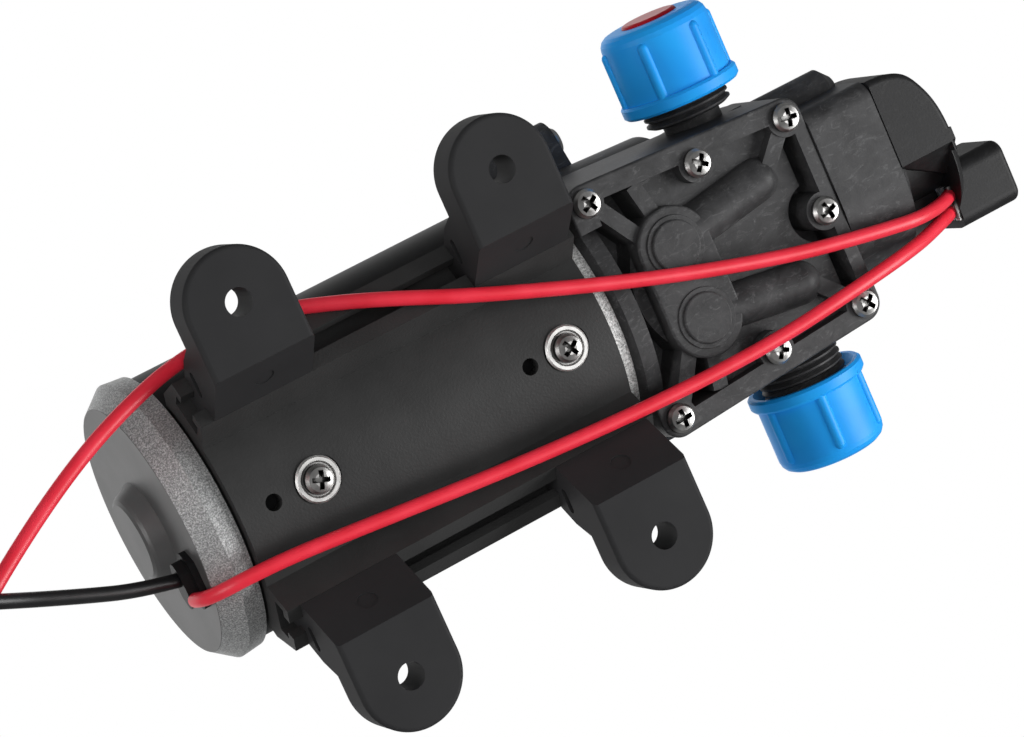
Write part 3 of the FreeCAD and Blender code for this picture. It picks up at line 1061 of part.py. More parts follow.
def saddle_washers():
    seat = washer_seat_z()
    washers = []
    for x in SADDLE_SCREWS_X:
        low, dish = seat - WASHER_THICK, seat - WASHER_THICK + WASHER_DISH
        washers.append(turned([(seat, WASHER_BORE_D / 2), (dish, WASHER_BORE_D / 2), (dish, WASHER_DISH_R),
                               (low, WASHER_DISH_R + WASHER_DISH), (low, WASHER_D / 2 - WASHER_DISH),
                               (dish, WASHER_D / 2), (seat, WASHER_D / 2)], V(x, 0, 0), Z_DIR))
    return Part.Compound(washers)


def body_screws():
    screw = pan_screw(BODY_HEAD_D, BODY_HEAD_HIGH, BODY_SHANK_D, LUG_FRONT - CAN_FRONT)
    return Part.Compound([aimed(screw, (LUG_FRONT, y, z), 180, BODY_TURN) for y, z in LUGS])


def switch_screws():
    screw = pan_screw(SWITCH_HEAD_D, SWITCH_HEAD_HIGH, SWITCH_SHANK_D, SWITCH_SCREW_LONG)
    return Part.Compound([aimed(screw, (switch_seat_x(), y, z), 180, SWITCH_TURN)
                          for y, z in SWITCH_SCREWS])


# Leads: straight runs joined by tangent arcs, through the route points of each lead
LEAD_D = 2.7
CONDUCTOR_R, STRIPPED_LONG = 0.8, 8.0
BEND_SHARE = 0.45
LEAD_ENTRY_LONG = 3.0
SADDLE_LOW = AXIS_Z - CAN_R - SADDLE_GAP - SADDLE_THICK
RAIL_Y, RAIL_Z = -RAIL_AT[0], RAIL_AT[1]
ROUTES = {
    "red_supply_lead": [
        (115.9, 10.4, 22.6), (106.4, 10.0, 11.9), (92.5, 7.6, 10.5), (72.7, 3.4, 10.1),
        (45.1, -5.3, SADDLE_LOW - 4.0), (16.3, -16.3, SADDLE_LOW - 4.5),
        (3.4, RAIL_Y - 0.2, RAIL_Z - 2.95), (-6.1, RAIL_Y - 4.0, RAIL_Z - 0.45),
        (-16.4, RAIL_Y - 7.4, RAIL_Z + 3.35), (-35.2, RAIL_Y - 7.6, RAIL_Z + 3.25),
        (-52.0, RAIL_Y - 3.6, RAIL_Z + 0.05), (-66.0, -19.6, 11.4),
        (-81.9, -10.9, 9.3), (-96.0, -3.0, 2.4), (-108.0, 3.8, 1.4)],
    "red_link_lead": [
        (115.9, 13.5, 23.7), (106.8, 14.2, 17.6), (97.0, 14.2, 11.9), (84.0, 14.9, 9.4),
        (64.0, 16.5, 9.3), (38.0, -RAIL_Y - 5.8, SADDLE_LOW - 3.3),
        (10.0, -RAIL_Y - 7.8, SADDLE_LOW - 3.1), (-18.0, 11.0, SADDLE_LOW - 2.8),
        (CAN_REAR + 6.0, 9.4, SADDLE_LOW - 2.4),
        (CAN_REAR - 2.85, 9.2, SADDLE_LOW - 1.6), (CAN_REAR - 7.45, 9.8, SADDLE_LOW + 1.05),
        (CAN_REAR - 10.1, 10.5, 18.15), (CAN_REAR - 10.1, 11.0, 23.4)],
    "black_supply_lead": [
        (CAN_REAR - 10.3, 7.0, 25.5), (CAN_REAR - 18.1, 5.0, 23.4), (-69.8, -0.9, 14.9),
        (-84.6, -8.7, 3.0), (-97.5, -15.0, 1.5), (-109.5, -20.6, 1.4)]}


def lead(points, radius):
    """Tube along a route, with the bend radii and a volume to hold against section x length."""
    points = [V(*p) for p in points]
    edges, at, length, radii = [], points[0], 0.0, []
    for before, corner, after in zip(points, points[1:], points[2:]):
        u, w = corner - before, after - corner
        setback = BEND_SHARE * min(u.Length, w.Length)
        half = u.getAngle(w) / 2
        bend = setback / math.tan(half)
        start, end = corner - u.normalize() * setback, corner + w.normalize() * setback
        inward = (end - corner) + (start - corner)
        middle = corner + inward.normalize() * (bend / math.cos(half) - bend)
        edges += [Part.LineSegment(at, start).toShape(), Part.Arc(start, middle, end).toShape()]
        length += (start - at).Length + 2 * half * bend
        radii.append(round(bend, 1))
        at = end
    edges.append(Part.LineSegment(at, points[-1]).toShape())
    length += (points[-1] - at).Length
    circle = Part.Wire(Part.makeCircle(radius, points[0], points[1] - points[0]))
    tube = Part.Wire(edges).makePipeShell([circle], True, True)
    share = tube.Volume / (math.pi * radius ** 2 * length)
    print("  length", round(length, 1), "volume share", round(share, 3), "least radius", min(radii))
    return tube


def stripped_end(name):
    """Bare conductor that stands out of a lead's loose end."""
    last, before = V(*ROUTES[name][-1]), V(*ROUTES[name][-2])
    return Part.makeCylinder(CONDUCTOR_R, STRIPPED_LONG, last, last - before)


# Write every node
rear_hole_x, front_hole_x = -HOLE_PITCH_X / 2, HOLE_PITCH_X / 2
front_inner, front_outer = bearing(BEARING_REAR, BEARING_LONG, SHAFT_D / 2, RACE_IN_R, RACE_OUT_R,
                                   BEARING_OD / 2, BALLS, AXIS_Z)
crank_inner, crank_outer = bearing(crank_rear(), CRANK_WIDE, ECCENTRIC_D / 2, RING_IN_R, RING_OUT_R,
                                   RING_BEARING_OD / 2, RING_BALLS, crank_centre_z())
NODES = {
    "mounting_saddle": mounting_saddle(),
    "saddle_screws": saddle_screws(),
    "saddle_washers": saddle_washers(),
    "foot_rear_right": foot(rear_hole_x),
    "foot_rear_left": mirrored(foot(rear_hole_x)),
    "foot_front_right": foot(front_hole_x),
    "foot_front_left": mirrored(foot(front_hole_x)),
    "motor_can": motor_can(),
    "motor_rear_cap": rear_cap(),
    "terminal_block": terminal_block(),
    "rear_bush": rear_bush(),
    "motor_front_flange": front_flange(),
    "front_bearing_inner_ring": front_inner,
    "front_bearing_outer_ring": front_outer,
    "magnets": magnet_pair(),
    "brush_holder": brush_holder(),
    "brushes": brush_pair(),
    "brush_springs": brush_springs(),
    "motor_shaft": motor_shaft(),
    "armature_core": armature_core(),
    "armature_windings": armature_windings(),
    "commutator": commutator(),
    "eccentric": eccentric(),
    "eccentric_grub_screw": eccentric_grub_screw(),
    "eccentric_bearing_inner_ring": crank_inner,
    "eccentric_bearing_outer_ring": crank_outer,
    "connecting_rod": connecting_rod(),
    "diaphragm": diaphragm(),
    "diaphragm_clamp_plate": clamp_plate(),
    "diaphragm_clamp_screw": clamp_screw(),
    "pump_body": pump_body(),
    "body_screws": body_screws(),
    "head_cover": head_cover(),
    "cover_screws": cover_screws(),
    "valve_gasket": valve_gasket(),
    "valve_plate": valve_plate(),
    "inlet_valve": umbrella_valve(web_z(), 1, VALVE_AT[1]),
    "outlet_valve": umbrella_valve(plate_z(), -1, -VALVE_AT[1]),
    "inlet_port_nut": port_nut(INLET_NUT_OPEN, INLET_NUT_TURN),
    "outlet_port_nut": mirrored(port_nut(OUTLET_NUT_OPEN, OUTLET_NUT_TURN)),
    "inlet_transport_plug": port_plug(INLET_NUT_OPEN),
    "outlet_transport_plug": mirrored(port_plug(OUTLET_NUT_OPEN)),
    "pressure_switch_housing": switch_housing(),
    "pressure_diaphragm": rod_x(STUB_FRONT, STUB_FRONT + SENSE_DISC_THICK, SENSE_DISC_R, 0, PORT_Z),
    "switch_piston": switch_piston(),
    "switch_spring": switch_spring(),
    "microswitch": microswitch(),
    "microswitch_button": microswitch_button(),
    "switch_screws": switch_screws(),
    "wire_entry_seal": wire_entry_seal(),
    "red_lead_stripped_end": stripped_end("red_supply_lead"),
    "black_lead_stripped_end": stripped_end("black_supply_lead"),
}
for name, shape in NODES.items():
    save(name, shape)
for name, route in ROUTES.items():
    save(name, lead(route, LEAD_D / 2))
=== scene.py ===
"""A caravan's diaphragm water pump, dressed over its CAD frame: leads first, then the saddle and
feet, the motor, the pump head with its ports, the pressure switch, and the works inside."""
import bpy
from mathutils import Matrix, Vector


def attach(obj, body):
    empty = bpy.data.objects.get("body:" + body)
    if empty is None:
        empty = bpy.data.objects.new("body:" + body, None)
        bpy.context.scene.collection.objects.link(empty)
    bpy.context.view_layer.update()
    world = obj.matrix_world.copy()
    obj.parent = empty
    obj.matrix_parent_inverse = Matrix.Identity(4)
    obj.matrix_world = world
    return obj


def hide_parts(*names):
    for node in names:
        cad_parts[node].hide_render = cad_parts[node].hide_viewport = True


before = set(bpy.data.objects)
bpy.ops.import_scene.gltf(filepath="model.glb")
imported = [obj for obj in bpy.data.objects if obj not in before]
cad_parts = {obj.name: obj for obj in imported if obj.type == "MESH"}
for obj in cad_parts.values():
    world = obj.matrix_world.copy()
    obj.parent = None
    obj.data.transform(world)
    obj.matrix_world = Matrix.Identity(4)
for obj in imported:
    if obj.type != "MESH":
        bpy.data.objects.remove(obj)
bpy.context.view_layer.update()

# Camera and studio
# Lens and camera pose are solved from the photo, which shows the mounting side, so the camera looks
# up through the floor, which shows only from above. A large key box stands to the right, and the
# dim room closes the set off but for the white behind the pump.
camera_data = bpy.data.cameras.new("camera")
camera_data.sensor_width = 36.0
camera_data.lens = 127.173
camera_data.clip_start = 0.02
camera = bpy.data.objects.new("camera", camera_data)
camera.location = (-0.194074, -0.117897, -0.581554)
camera.rotation_euler = (3.120806, 0.385832, 0.448267)
bpy.context.scene.collection.objects.link(camera)
bpy.context.scene.camera = camera
bpy.context.scene.view_settings.view_transform = "Standard"


def srgb(code):
    """Linear colour of an sRGB hex value."""
    parts = [int(code[i:i + 2], 16) / 255 for i in (1, 3, 5)]
    return [p / 12.92 if p <= 0.04045 else ((p + 0.055) / 1.055) ** 2.4 for p in parts] + [1.0]


def add(tree, kind, values=None, links=None, stops=(), **settings):
    """Add a node: settings are its properties, values its unlinked inputs, links its sources,
    and stops the (position, hex colour) pairs of a colour ramp."""
    node = tree.nodes.new("ShaderNode" + kind)
    for name, value in settings.items():
        setattr(node, name, value)
    for name, value in (values or {}).items():
        node.inputs[name].default_value = value
    for name, source in (links or {}).items():
        tree.links.new(source, node.inputs[name])
    for number, (place, code) in enumerate(stops):
        if number > 1:
            node.color_ramp.elements.new(place)
        node.color_ramp.elements[number].position = place
        node.color_ramp.elements[number].color = srgb(code)
    return node


floor_drop = 0.0002
fade_near, fade_far = 0.3, 1.1
bpy.ops.object.select_all(action="DESELECT")
bpy.ops.mesh.primitive_plane_add(size=3.0, location=(0.0, 0.0, -floor_drop))
floor = bpy.context.object
floor.name = "studio_floor"
floor.visible_diffuse = False
floor.visible_glossy = False
floor_paper = bpy.data.materials.new("pale_paper_floor")
floor_paper.use_nodes = True
tree = floor_paper.node_tree
tree.nodes.clear()
rays = add(tree, "LightPath")
facing = add(tree, "NewGeometry")
near = add(tree, "BsdfDiffuse", {"Color": srgb("#F4F4F2")})
reach = add(tree, "VectorMath", links={0: add(tree, "TexCoord").outputs["Object"]},
            operation="LENGTH")
fade = add(tree, "MapRange", {"From Min": fade_near, "From Max": fade_far},
           {"Value": reach.outputs["Value"]})
far = add(tree, "Math", links={0: fade.outputs[0], 1: rays.outputs["Is Camera Ray"]},
          operation="MULTIPLY")
paper = add(tree, "MixShader", links={0: far.outputs[0], 1: near.outputs[0], 2: add(
    tree, "Emission", {"Color": srgb("#FFFFFF")}).outputs[0]})
hidden = add(tree, "Math", links={0: facing.outputs["Backfacing"],
                                  1: rays.outputs["Is Shadow Ray"]}, operation="MAXIMUM")
add(tree, "OutputMaterial", links={"Surface": add(
    tree, "MixShader", links={0: hidden.outputs[0], 1: paper.outputs[0],
                              2: add(tree, "BsdfTransparent").outputs[0]}).outputs[0]})
floor.data.materials.append(floor_paper)

room_radius = 1.2
room_open_above = 0.98
bpy.ops.object.select_all(action="DESELECT")
bpy.ops.mesh.primitive_uv_sphere_add(segments=48, ring_count=24, radius=room_radius)
room = bpy.context.object
room.name = "dim_room"
bpy.ops.object.mode_set(mode="EDIT")
bpy.ops.mesh.select_all(action="SELECT")
bpy.ops.mesh.bisect(plane_co=(0.0, 0.0, room_open_above), plane_no=(0.0, 0.0, 1.0),
                    clear_outer=True)
bpy.ops.object.mode_set(mode="OBJECT")
room.visible_camera = False
room.visible_diffuse = False
room.visible_shadow = False
wall = bpy.data.materials.new("dim_studio_wall")
wall.use_nodes = True
tree = wall.node_tree
tree.nodes.clear()
add(tree, "OutputMaterial", links={"Surface": add(
    tree, "Emission", {"Color": srgb("#6E6E6E")}).outputs[0]})
room.data.materials.append(wall)

world = bpy.data.worlds.new("studio")
bpy.context.scene.world = world
world.use_nodes = True
tree = world.node_tree
tree.nodes.clear()
rays = add(tree, "LightPath")
seen = add(tree, "Math", links={0: rays.outputs["Is Camera Ray"],
                                1: rays.outputs["Is Transmission Ray"]}, operation="MAXIMUM")
seen_or_mirrored = add(tree, "Math", links={0: seen.outputs[0], 1: rays.outputs["Is Glossy Ray"]},
                       operation="MAXIMUM")
soft = add(tree, "Background", {"Color": srgb("#FFFFFF"), "Strength": 0.2})
white = add(tree, "Background", {"Color": srgb("#FFFFFF"), "Strength": 1.0})
add(tree, "OutputWorld", links={"Surface": add(
    tree, "MixShader", links={0: seen_or_mirrored.outputs[0], 1: soft.outputs[0],
                              2: white.outputs[0]}).outputs[0]})

lamps_aim = Vector((0.03, 0.0, 0.035))
for name, place, power, size, shines in (
        ("key_softbox", (0.64, 0.26, -0.50), 6.2, 0.5, True),
        ("left_softbox", (-0.75, -0.10, -0.28), 2.2, 0.4, True),
        ("camera_side_softbox", (-0.15, -0.15, -0.85), 2.0, 0.5, False),
        ("overhead_softbox", (0.25, -0.35, 0.95), 9.0, 0.7, False),
        ("back_softbox", (-0.3, 0.65, 0.70), 4.0, 0.7, False)):
    lamp_data = bpy.data.lights.new(name, "AREA")
    lamp_data.energy = power
    lamp_data.size = size
    lamp = bpy.data.objects.new(name, lamp_data)
    lamp.location = place
    lamp.visible_glossy = shines
    lamp.rotation_euler = (lamps_aim - Vector(place)).to_track_quat("-Z", "Y").to_euler()
    bpy.context.scene.collection.objects.link(lamp)


# Leads
# Three single-core leads in soft PVC, 2.7 mm over the insulation. The supply pair ends stripped;
# the link runs from the pressure switch back to the motor's terminal.
lead_radius = 0.00135


def material(name):
    """Empty material, its node tree, its surface shader and its Object coordinates."""
    new = bpy.data.materials.new(name)
    new.use_nodes = True
    tree = new.node_tree
    tree.nodes.clear()
    shader = add(tree, "BsdfPrincipled")
    add(tree, "OutputMaterial", links={"Surface": shader.outputs["BSDF"]})
    return new, tree, shader, add(tree, "TexCoord").outputs["Object"]


def dress(node_name, finish):
    """Give a CAD node its finish in every slot."""
    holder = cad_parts[node_name]
    if not holder.material_slots:
        holder.data.materials.append(finish)
    for place in holder.material_slots:
        place.material = finish


def lead_curve(name, route):
    """Smooth tube along the route's points, given in millimetres."""
    curve = bpy.data.curves.new(name, "CURVE")
    curve.dimensions = "3D"
    spline = curve.splines.new("NURBS")
    spline.points.add(len(route) - 1)
    for point, (x, y, z) in zip(spline.points, route):
        point.co = (x / 1000, y / 1000, z / 1000, 1.0)
    spline.order_u = 3
    spline.use_endpoint_u = True
    spline.resolution_u = 12
    curve.bevel_depth = lead_radius
    curve.bevel_resolution = 6
    curve.use_fill_caps = True
    holder = bpy.data.objects.new(name, curve)
    bpy.context.scene.collection.objects.link(holder)
    return holder


def pvc_insulation(name, dark, light):
    """Extruded soft PVC: satin, with a 0.4 mm waviness in its skin and a 6 mm drift in colour."""
    finish, tree, shader, place = material(name)
    drift = add(tree, "TexNoise", {"Scale": 160.0, "Detail": 3.0}, {"Vector": place})
    tone = add(tree, "ValToRGB", links={"Fac": drift.outputs["Fac"]},
               stops=((0.3, dark), (0.7, light)))
    tree.links.new(tone.outputs["Color"], shader.inputs["Base Color"])
    skin = add(tree, "TexNoise", {"Scale": 2600.0, "Detail": 2.0}, {"Vector": place})
    bump = add(tree, "Bump", {"Strength": 0.12, "Distance": 0.0001},
               {"Height": skin.outputs["Fac"]})
    tree.links.new(bump.outputs[0], shader.inputs["Normal"])
    shader.inputs["Roughness"].default_value = 0.4
    shader.inputs["IOR"].default_value = 1.53
    return finish


red_pvc = pvc_insulation("red_pvc_insulation", "#E92539", "#F43449")
black_pvc = pvc_insulation("black_pvc_insulation", "#0E0E0F", "#18181A")

supply_route = [
    (115.9, 10.4, 22.6), (106.4, 10.0, 11.9), (92.5, 7.6, 10.5), (72.7, 3.4, 10.1),
    (45.1, -5.3, 8.5), (16.3, -16.3, 8.0), (3.4, -22.0, 10.4), (-6.1, -25.8, 12.9),
    (-16.4, -29.2, 16.7), (-35.2, -29.4, 16.6), (-52.0, -25.4, 13.4), (-66.0, -19.6, 11.4),
    (-81.9, -10.9, 9.3), (-96.0, -3.0, 2.4), (-108.0, 3.8, 1.4)]
red_supply = lead_curve("red_supply_wire", supply_route)
red_supply.data.materials.append(red_pvc)
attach(red_supply, "pump")
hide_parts("red_supply_lead")

link_route = [
    (115.9, 13.5, 23.7), (106.8, 14.2, 17.6), (97.0, 14.2, 11.9), (84.0, 14.9, 9.4),
    (64.0, 16.5, 9.3), (38.0, 16.0, 9.2), (10.0, 14.0, 9.4), (-18.0, 11.0, 9.7), (-33.5, 9.4, 10.1),
    (-42.35, 9.2, 10.9), (-46.95, 9.8, 13.55), (-49.6, 10.5, 18.15), (-49.6, 11.0, 23.4)]
red_link = lead_curve("red_link_wire", link_route)
red_link.data.materials.append(red_pvc)
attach(red_link, "pump")
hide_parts("red_link_lead")

black_route = [
    (-49.8, 7.0, 25.5), (-57.6, 5.0, 23.4), (-69.8, -0.9, 14.9), (-84.6, -8.7, 3.0),
    (-97.5, -15.0, 1.5), (-109.5, -20.6, 1.4)]
black_supply = lead_curve("black_supply_wire", black_route)
black_supply.data.materials.append(black_pvc)
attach(black_supply, "pump")
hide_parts("black_supply_lead")

# Stripped ends
# The copper bundle at each supply lead's end, twisted by hand: slanting bands of bright and
# oxidised strands, a third of a millimetre across.
copper, tree, shader, place = material("stranded_bare_copper")
strands = add(tree, "TexWave", {"Scale": 900.0, "Distortion": 0.6, "Detail": 1.0},
              {"Vector": place}, bands_direction="DIAGONAL")
tone = add(tree, "ValToRGB", links={"Fac": strands.outputs["Fac"]},
           stops=((0.2, "#8A4B2A"), (0.8, "#D9976B")))
tree.links.new(tone.outputs["Color"], shader.inputs["Base Color"])
bump = add(tree, "Bump", {"Strength": 0.6, "Distance": 0.0002}, {"Height": strands.outputs["Fac"]})
tree.links.new(bump.outputs[0], shader.inputs["Normal"])
shader.inputs["Metallic"].default_value = 1.0
shader.inputs["Roughness"].default_value = 0.3
dress("red_lead_stripped_end", copper)
dress("black_lead_stripped_end", copper)


# Saddle and feet
# The saddle is extruded black polymer with a faint dusty bloom; the feet are moulded in a softer
# grade and pushed on to its rails. Both have an even, dead matt skin.
def matt_black_polymer(name, dark, light, roughness, gloss, grain_mm, grain_depth):
    """Matt black polymer: an 18 mm drift in tone, and a fine grain that the light just catches."""
    finish, tree, shader, place = material(name)
    drift = add(tree, "TexNoise", {"Scale": 55.0, "Detail": 4.0, "Roughness": 0.6},
                {"Vector": place})
    tone = add(tree, "ValToRGB", links={"Fac": drift.outputs["Fac"]},
               stops=((0.3, dark), (0.7, light)))
    tree.links.new(tone.outputs["Color"], shader.inputs["Base Color"])
    grain = add(tree, "TexNoise", {"Scale": 1000.0 / grain_mm, "Detail": 2.0}, {"Vector": place})
    bump = add(tree, "Bump", {"Strength": grain_depth, "Distance": 0.0001},
               {"Height": grain.outputs["Fac"]})
    tree.links.new(bump.outputs[0], shader.inputs["Normal"])
    shader.inputs["Roughness"].default_value = roughness
    shader.inputs["IOR"].default_value = 1.5
    shader.inputs["Specular IOR Level"].default_value = gloss
    return finish


saddle_polymer = matt_black_polymer("extruded_black_polymer", "#2F2F2F", "#3A3A3A", roughness=0.5,
                                    gloss=0.25, grain_mm=0.5, grain_depth=0.5)
dress("mounting_saddle", saddle_polymer)
foot_polymer = matt_black_polymer("moulded_foot_polymer", "#2D2D2E", "#323233", roughness=0.6,
                                  gloss=0.12, grain_mm=0.5, grain_depth=0.08)
for corner in ("rear_right", "rear_left", "front_right", "front_left"):
    dress("foot_" + corner, foot_polymer)


# Screws and washers
# Pan-head steel screws with a four-armed recess, and dished washers, all bright nickel plate.
# Narrow hollows, such as the recesses, are darkened with painted shade found by ambient occlusion.
def plated_steel(name, dark, light, rough_low, rough_high, hollow_mm):
    """Nickel on steel: a 1.5 mm polishing haze in tone and gloss, and painted shade in narrow
    hollows.
    """
    finish, tree, shader, place = material(name)
    haze = add(tree, "TexNoise", {"Scale": 700.0, "Detail": 4.0}, {"Vector": place})
    tone = add(tree, "ValToRGB", links={"Fac": haze.outputs["Fac"]},
               stops=((0.3, dark), (0.7, light)))
    # Painted shade: ambient occlusion darkens the colour towards #2A2928 in narrow hollows.
    painted_hollow_shade = add(tree, "AmbientOcclusion", {"Distance": hollow_mm / 1000}, samples=8)
    open_air = add(tree, "MapRange", {"From Min": 0.45, "From Max": 0.95},
                   {"Value": painted_hollow_shade.outputs["AO"]})
    tone_with_painted_shade = add(tree, "Mix", {"A": srgb("#2A2928")},
                {"Factor": open_air.outputs[0], "B": tone.outputs["Color"]}, data_type="RGBA")
    tree.links.new(tone_with_painted_shade.outputs["Result"], shader.inputs["Base Color"])
    dull = add(tree, "MapRange", {"To Min": rough_low, "To Max": rough_high},
               {"Value": haze.outputs["Fac"]})
    tree.links.new(dull.outputs[0], shader.inputs["Roughness"])
    shader.inputs["Metallic"].default_value = 1.0
    return finish


bright_screws = plated_steel("nickel_plated_screw_steel", "#B4B3B1", "#D6D5D3", rough_low=0.3,
                             rough_high=0.45, hollow_mm=1.1)
for group in ("saddle_screws", "cover_screws", "body_screws", "switch_screws"):
    dress(group, bright_screws)
bright_washers = plated_steel("nickel_plated_washer_steel", "#D6D5D3", "#F0EFED", rough_low=0.45,
                              rough_high=0.6, hollow_mm=0.5)
dress("saddle_washers", bright_washers)

# Motor can
# Deep-drawn steel in satin black paint, with the slight orange peel of sprayed enamel, 1.5 mm from
# bump to bump.
can_paint, tree, shader, place = material("satin_black_enamel")
peel = add(tree, "TexNoise", {"Scale": 700.0, "Detail": 2.0}, {"Vector": place})
tone = add(tree, "ValToRGB", links={"Fac": peel.outputs["Fac"]},
           stops=((0.3, "#131314"), (0.7, "#19191A")))
tree.links.new(tone.outputs["Color"], shader.inputs["Base Color"])
bump = add(tree, "Bump", {"Strength": 0.08, "Distance": 0.0001}, {"Height": peel.outputs["Fac"]})
tree.links.new(bump.outputs[0], shader.inputs["Normal"])
shader.inputs["Roughness"].default_value = 0.5
shader.inputs["Specular IOR Level"].default_value = 0.2
dress("motor_can", can_paint)

# Rear cap
# Cast alloy: the flat face and its bearing boss are smooth and given a darker mid grey as painted
# shade, and the rounded band round them is left blasted, with a sparkle of grit at 0.3 mm.
cap_face_x = -0.04712
cap_alloy, tree, shader, place = material("blasted_cast_alloy_painted_shade_face")
grit = add(tree, "TexNoise", {"Scale": 3200.0, "Detail": 2.0, "Roughness": 0.8}, {"Vector": place})
cloud = add(tree, "TexNoise", {"Scale": 90.0, "Detail": 4.0}, {"Vector": place})
band = add(tree, "ValToRGB", links={"Fac": grit.outputs["Fac"]},
           stops=((0.34, "#737474"), (0.5, "#989999"), (0.66, "#CDCECE")))
# Painted shade: the face is a smooth grey, darker than the band.
face_painted_shade = add(tree, "ValToRGB", links={"Fac": cloud.outputs["Fac"]},
              stops=((0.3, "#585858"), (0.7, "#666666")))
along = add(tree, "SeparateXYZ", links={"Vector": place})
on_band = add(tree, "Math", {1: cap_face_x}, {0: along.outputs["X"]}, operation="GREATER_THAN")
skin = add(tree, "Mix", links={"Factor": on_band.outputs[0], "A": face_painted_shade.outputs["Color"],
                               "B": band.outputs["Color"]}, data_type="RGBA")
tree.links.new(skin.outputs["Result"], shader.inputs["Base Color"])
relief = add(tree, "MapRange", {"To Min": 0.05, "To Max": 0.5}, {"Value": on_band.outputs[0]})
bump = add(tree, "Bump", {"Distance": 0.0002}, {"Height": grit.outputs["Fac"],
                                                "Strength": relief.outputs[0]})
tree.links.new(bump.outputs[0], shader.inputs["Normal"])
shader.inputs["Metallic"].default_value = 0.3
shader.inputs["Roughness"].default_value = 0.42
dress("motor_rear_cap", cap_alloy)

# Front flange
# Cast in the same alloy, but left unpainted all over: paler, with a coarser, brighter speckle at
# half a millimetre.
flange_alloy, tree, shader, place = material("blasted_cast_alloy")
grit = add(tree, "TexNoise", {"Scale": 2000.0, "Detail": 2.0, "Roughness": 0.8}, {"Vector": place})
tone = add(tree, "ValToRGB", links={"Fac": grit.outputs["Fac"]},
           stops=((0.36, "#A2A2A1"), (0.5, "#DADAD9"), (0.62, "#FAFAF9")))
tree.links.new(tone.outputs["Color"], shader.inputs["Base Color"])
bump = add(tree, "Bump", {"Strength": 0.6, "Distance": 0.0002}, {"Height": grit.outputs["Fac"]})
tree.links.new(bump.outputs[0], shader.inputs["Normal"])
shader.inputs["Metallic"].default_value = 0.3
shader.inputs["Roughness"].default_value = 0.55
dress("motor_front_flange", flange_alloy)

# Terminal block
# Pressed phenolic on the cap's face, where the two leads meet the brush tags.
phenolic = matt_black_polymer("pressed_phenolic", "#101011", "#181819", roughness=0.45, gloss=0.3,
                              grain_mm=0.6, grain_depth=0.2)
dress("terminal_block", phenolic)


# Pump head
# Body, cover and switch cup are glass-filled nylon, which moulds with cloudy flow marks, faint
# scuffs and a satin skin that is lighter where handling has polished it.
def filled_nylon(name, dark, light, scuff):
    """Glass-filled nylon: clouds 5 to 10 mm across, scuffs about 3 mm long, a fibrous grain."""
    finish, tree, shader, place = material(name)
    clouds = add(tree, "TexNoise", {"Scale": 150.0, "Detail": 8.0, "Roughness": 0.7,
                                    "Distortion": 0.8}, {"Vector": place})
    tone = add(tree, "ValToRGB", links={"Fac": clouds.outputs["Fac"]},
               stops=((0.36, dark), (0.64, light)))
    stretch = add(tree, "Mapping", {"Scale": (1.0, 2.2, 2.2), "Rotation": (0.0, 0.0, 0.5)},
                  {"Vector": place})
    scuffs = add(tree, "TexNoise", {"Scale": 330.0, "Detail": 6.0, "Roughness": 0.8,
                                    "Distortion": 1.2}, {"Vector": stretch.outputs[0]})
    marks = add(tree, "MapRange", {"From Min": 0.54, "From Max": 0.72},
                {"Value": scuffs.outputs["Fac"]})
    worn = add(tree, "Mix", {"B": srgb(scuff)},
               {"Factor": marks.outputs[0], "A": tone.outputs["Color"]}, data_type="RGBA")
    tree.links.new(worn.outputs["Result"], shader.inputs["Base Color"])
    fibre = add(tree, "TexNoise", {"Scale": 2200.0, "Detail": 3.0}, {"Vector": place})
    bump = add(tree, "Bump", {"Strength": 0.22, "Distance": 0.0001},
               {"Height": fibre.outputs["Fac"]})
    tree.links.new(bump.outputs[0], shader.inputs["Normal"])
    satin = add(tree, "MapRange", {"To Min": 0.4, "To Max": 0.6},
                {"Value": clouds.outputs["Fac"]})
    tree.links.new(satin.outputs[0], shader.inputs["Roughness"])
    shader.inputs["IOR"].default_value = 1.53
    shader.inputs["Specular IOR Level"].default_value = 0.25
    return finish


head_nylon = filled_nylon("glass_filled_nylon", "#2F2F30", "#444445", "#606061")
dress("pump_body", head_nylon)
dress("head_cover", head_nylon)
# The switch cup gets a darker copy of the same nylon as painted shade.
switch_nylon_painted_shade = filled_nylon("switch_cup_nylon_painted_shade", "#171718", "#222223", "#2E2E2F")
dress("pressure_switch_housing", switch_nylon_painted_shade)

# Port nuts
# Moulded polypropylene in a strong blue: slightly waxy, with soft swirls of pigment.
blue_pp, tree, shader, place = material("blue_polypropylene")
swirl = add(tree, "TexNoise", {"Scale": 110.0, "Detail": 3.0, "Distortion": 0.5}, {"Vector": place})
tone = add(tree, "ValToRGB", links={"Fac": swirl.outputs["Fac"]},
           stops=((0.3, "#1A9EFA"), (0.7, "#20ABFF")))
tree.links.new(tone.outputs["Color"], shader.inputs["Base Color"])
skin = add(tree, "TexNoise", {"Scale": 1500.0, "Detail": 2.0}, {"Vector": place})
bump = add(tree, "Bump", {"Strength": 0.1, "Distance": 0.0001}, {"Height": skin.outputs["Fac"]})
tree.links.new(bump.outputs[0], shader.inputs["Normal"])
shader.inputs["Roughness"].default_value = 0.42
shader.inputs["IOR"].default_value = 1.49
shader.inputs["Specular IOR Level"].default_value = 0.3
dress("inlet_port_nut", blue_pp)
dress("outlet_port_nut", blue_pp)

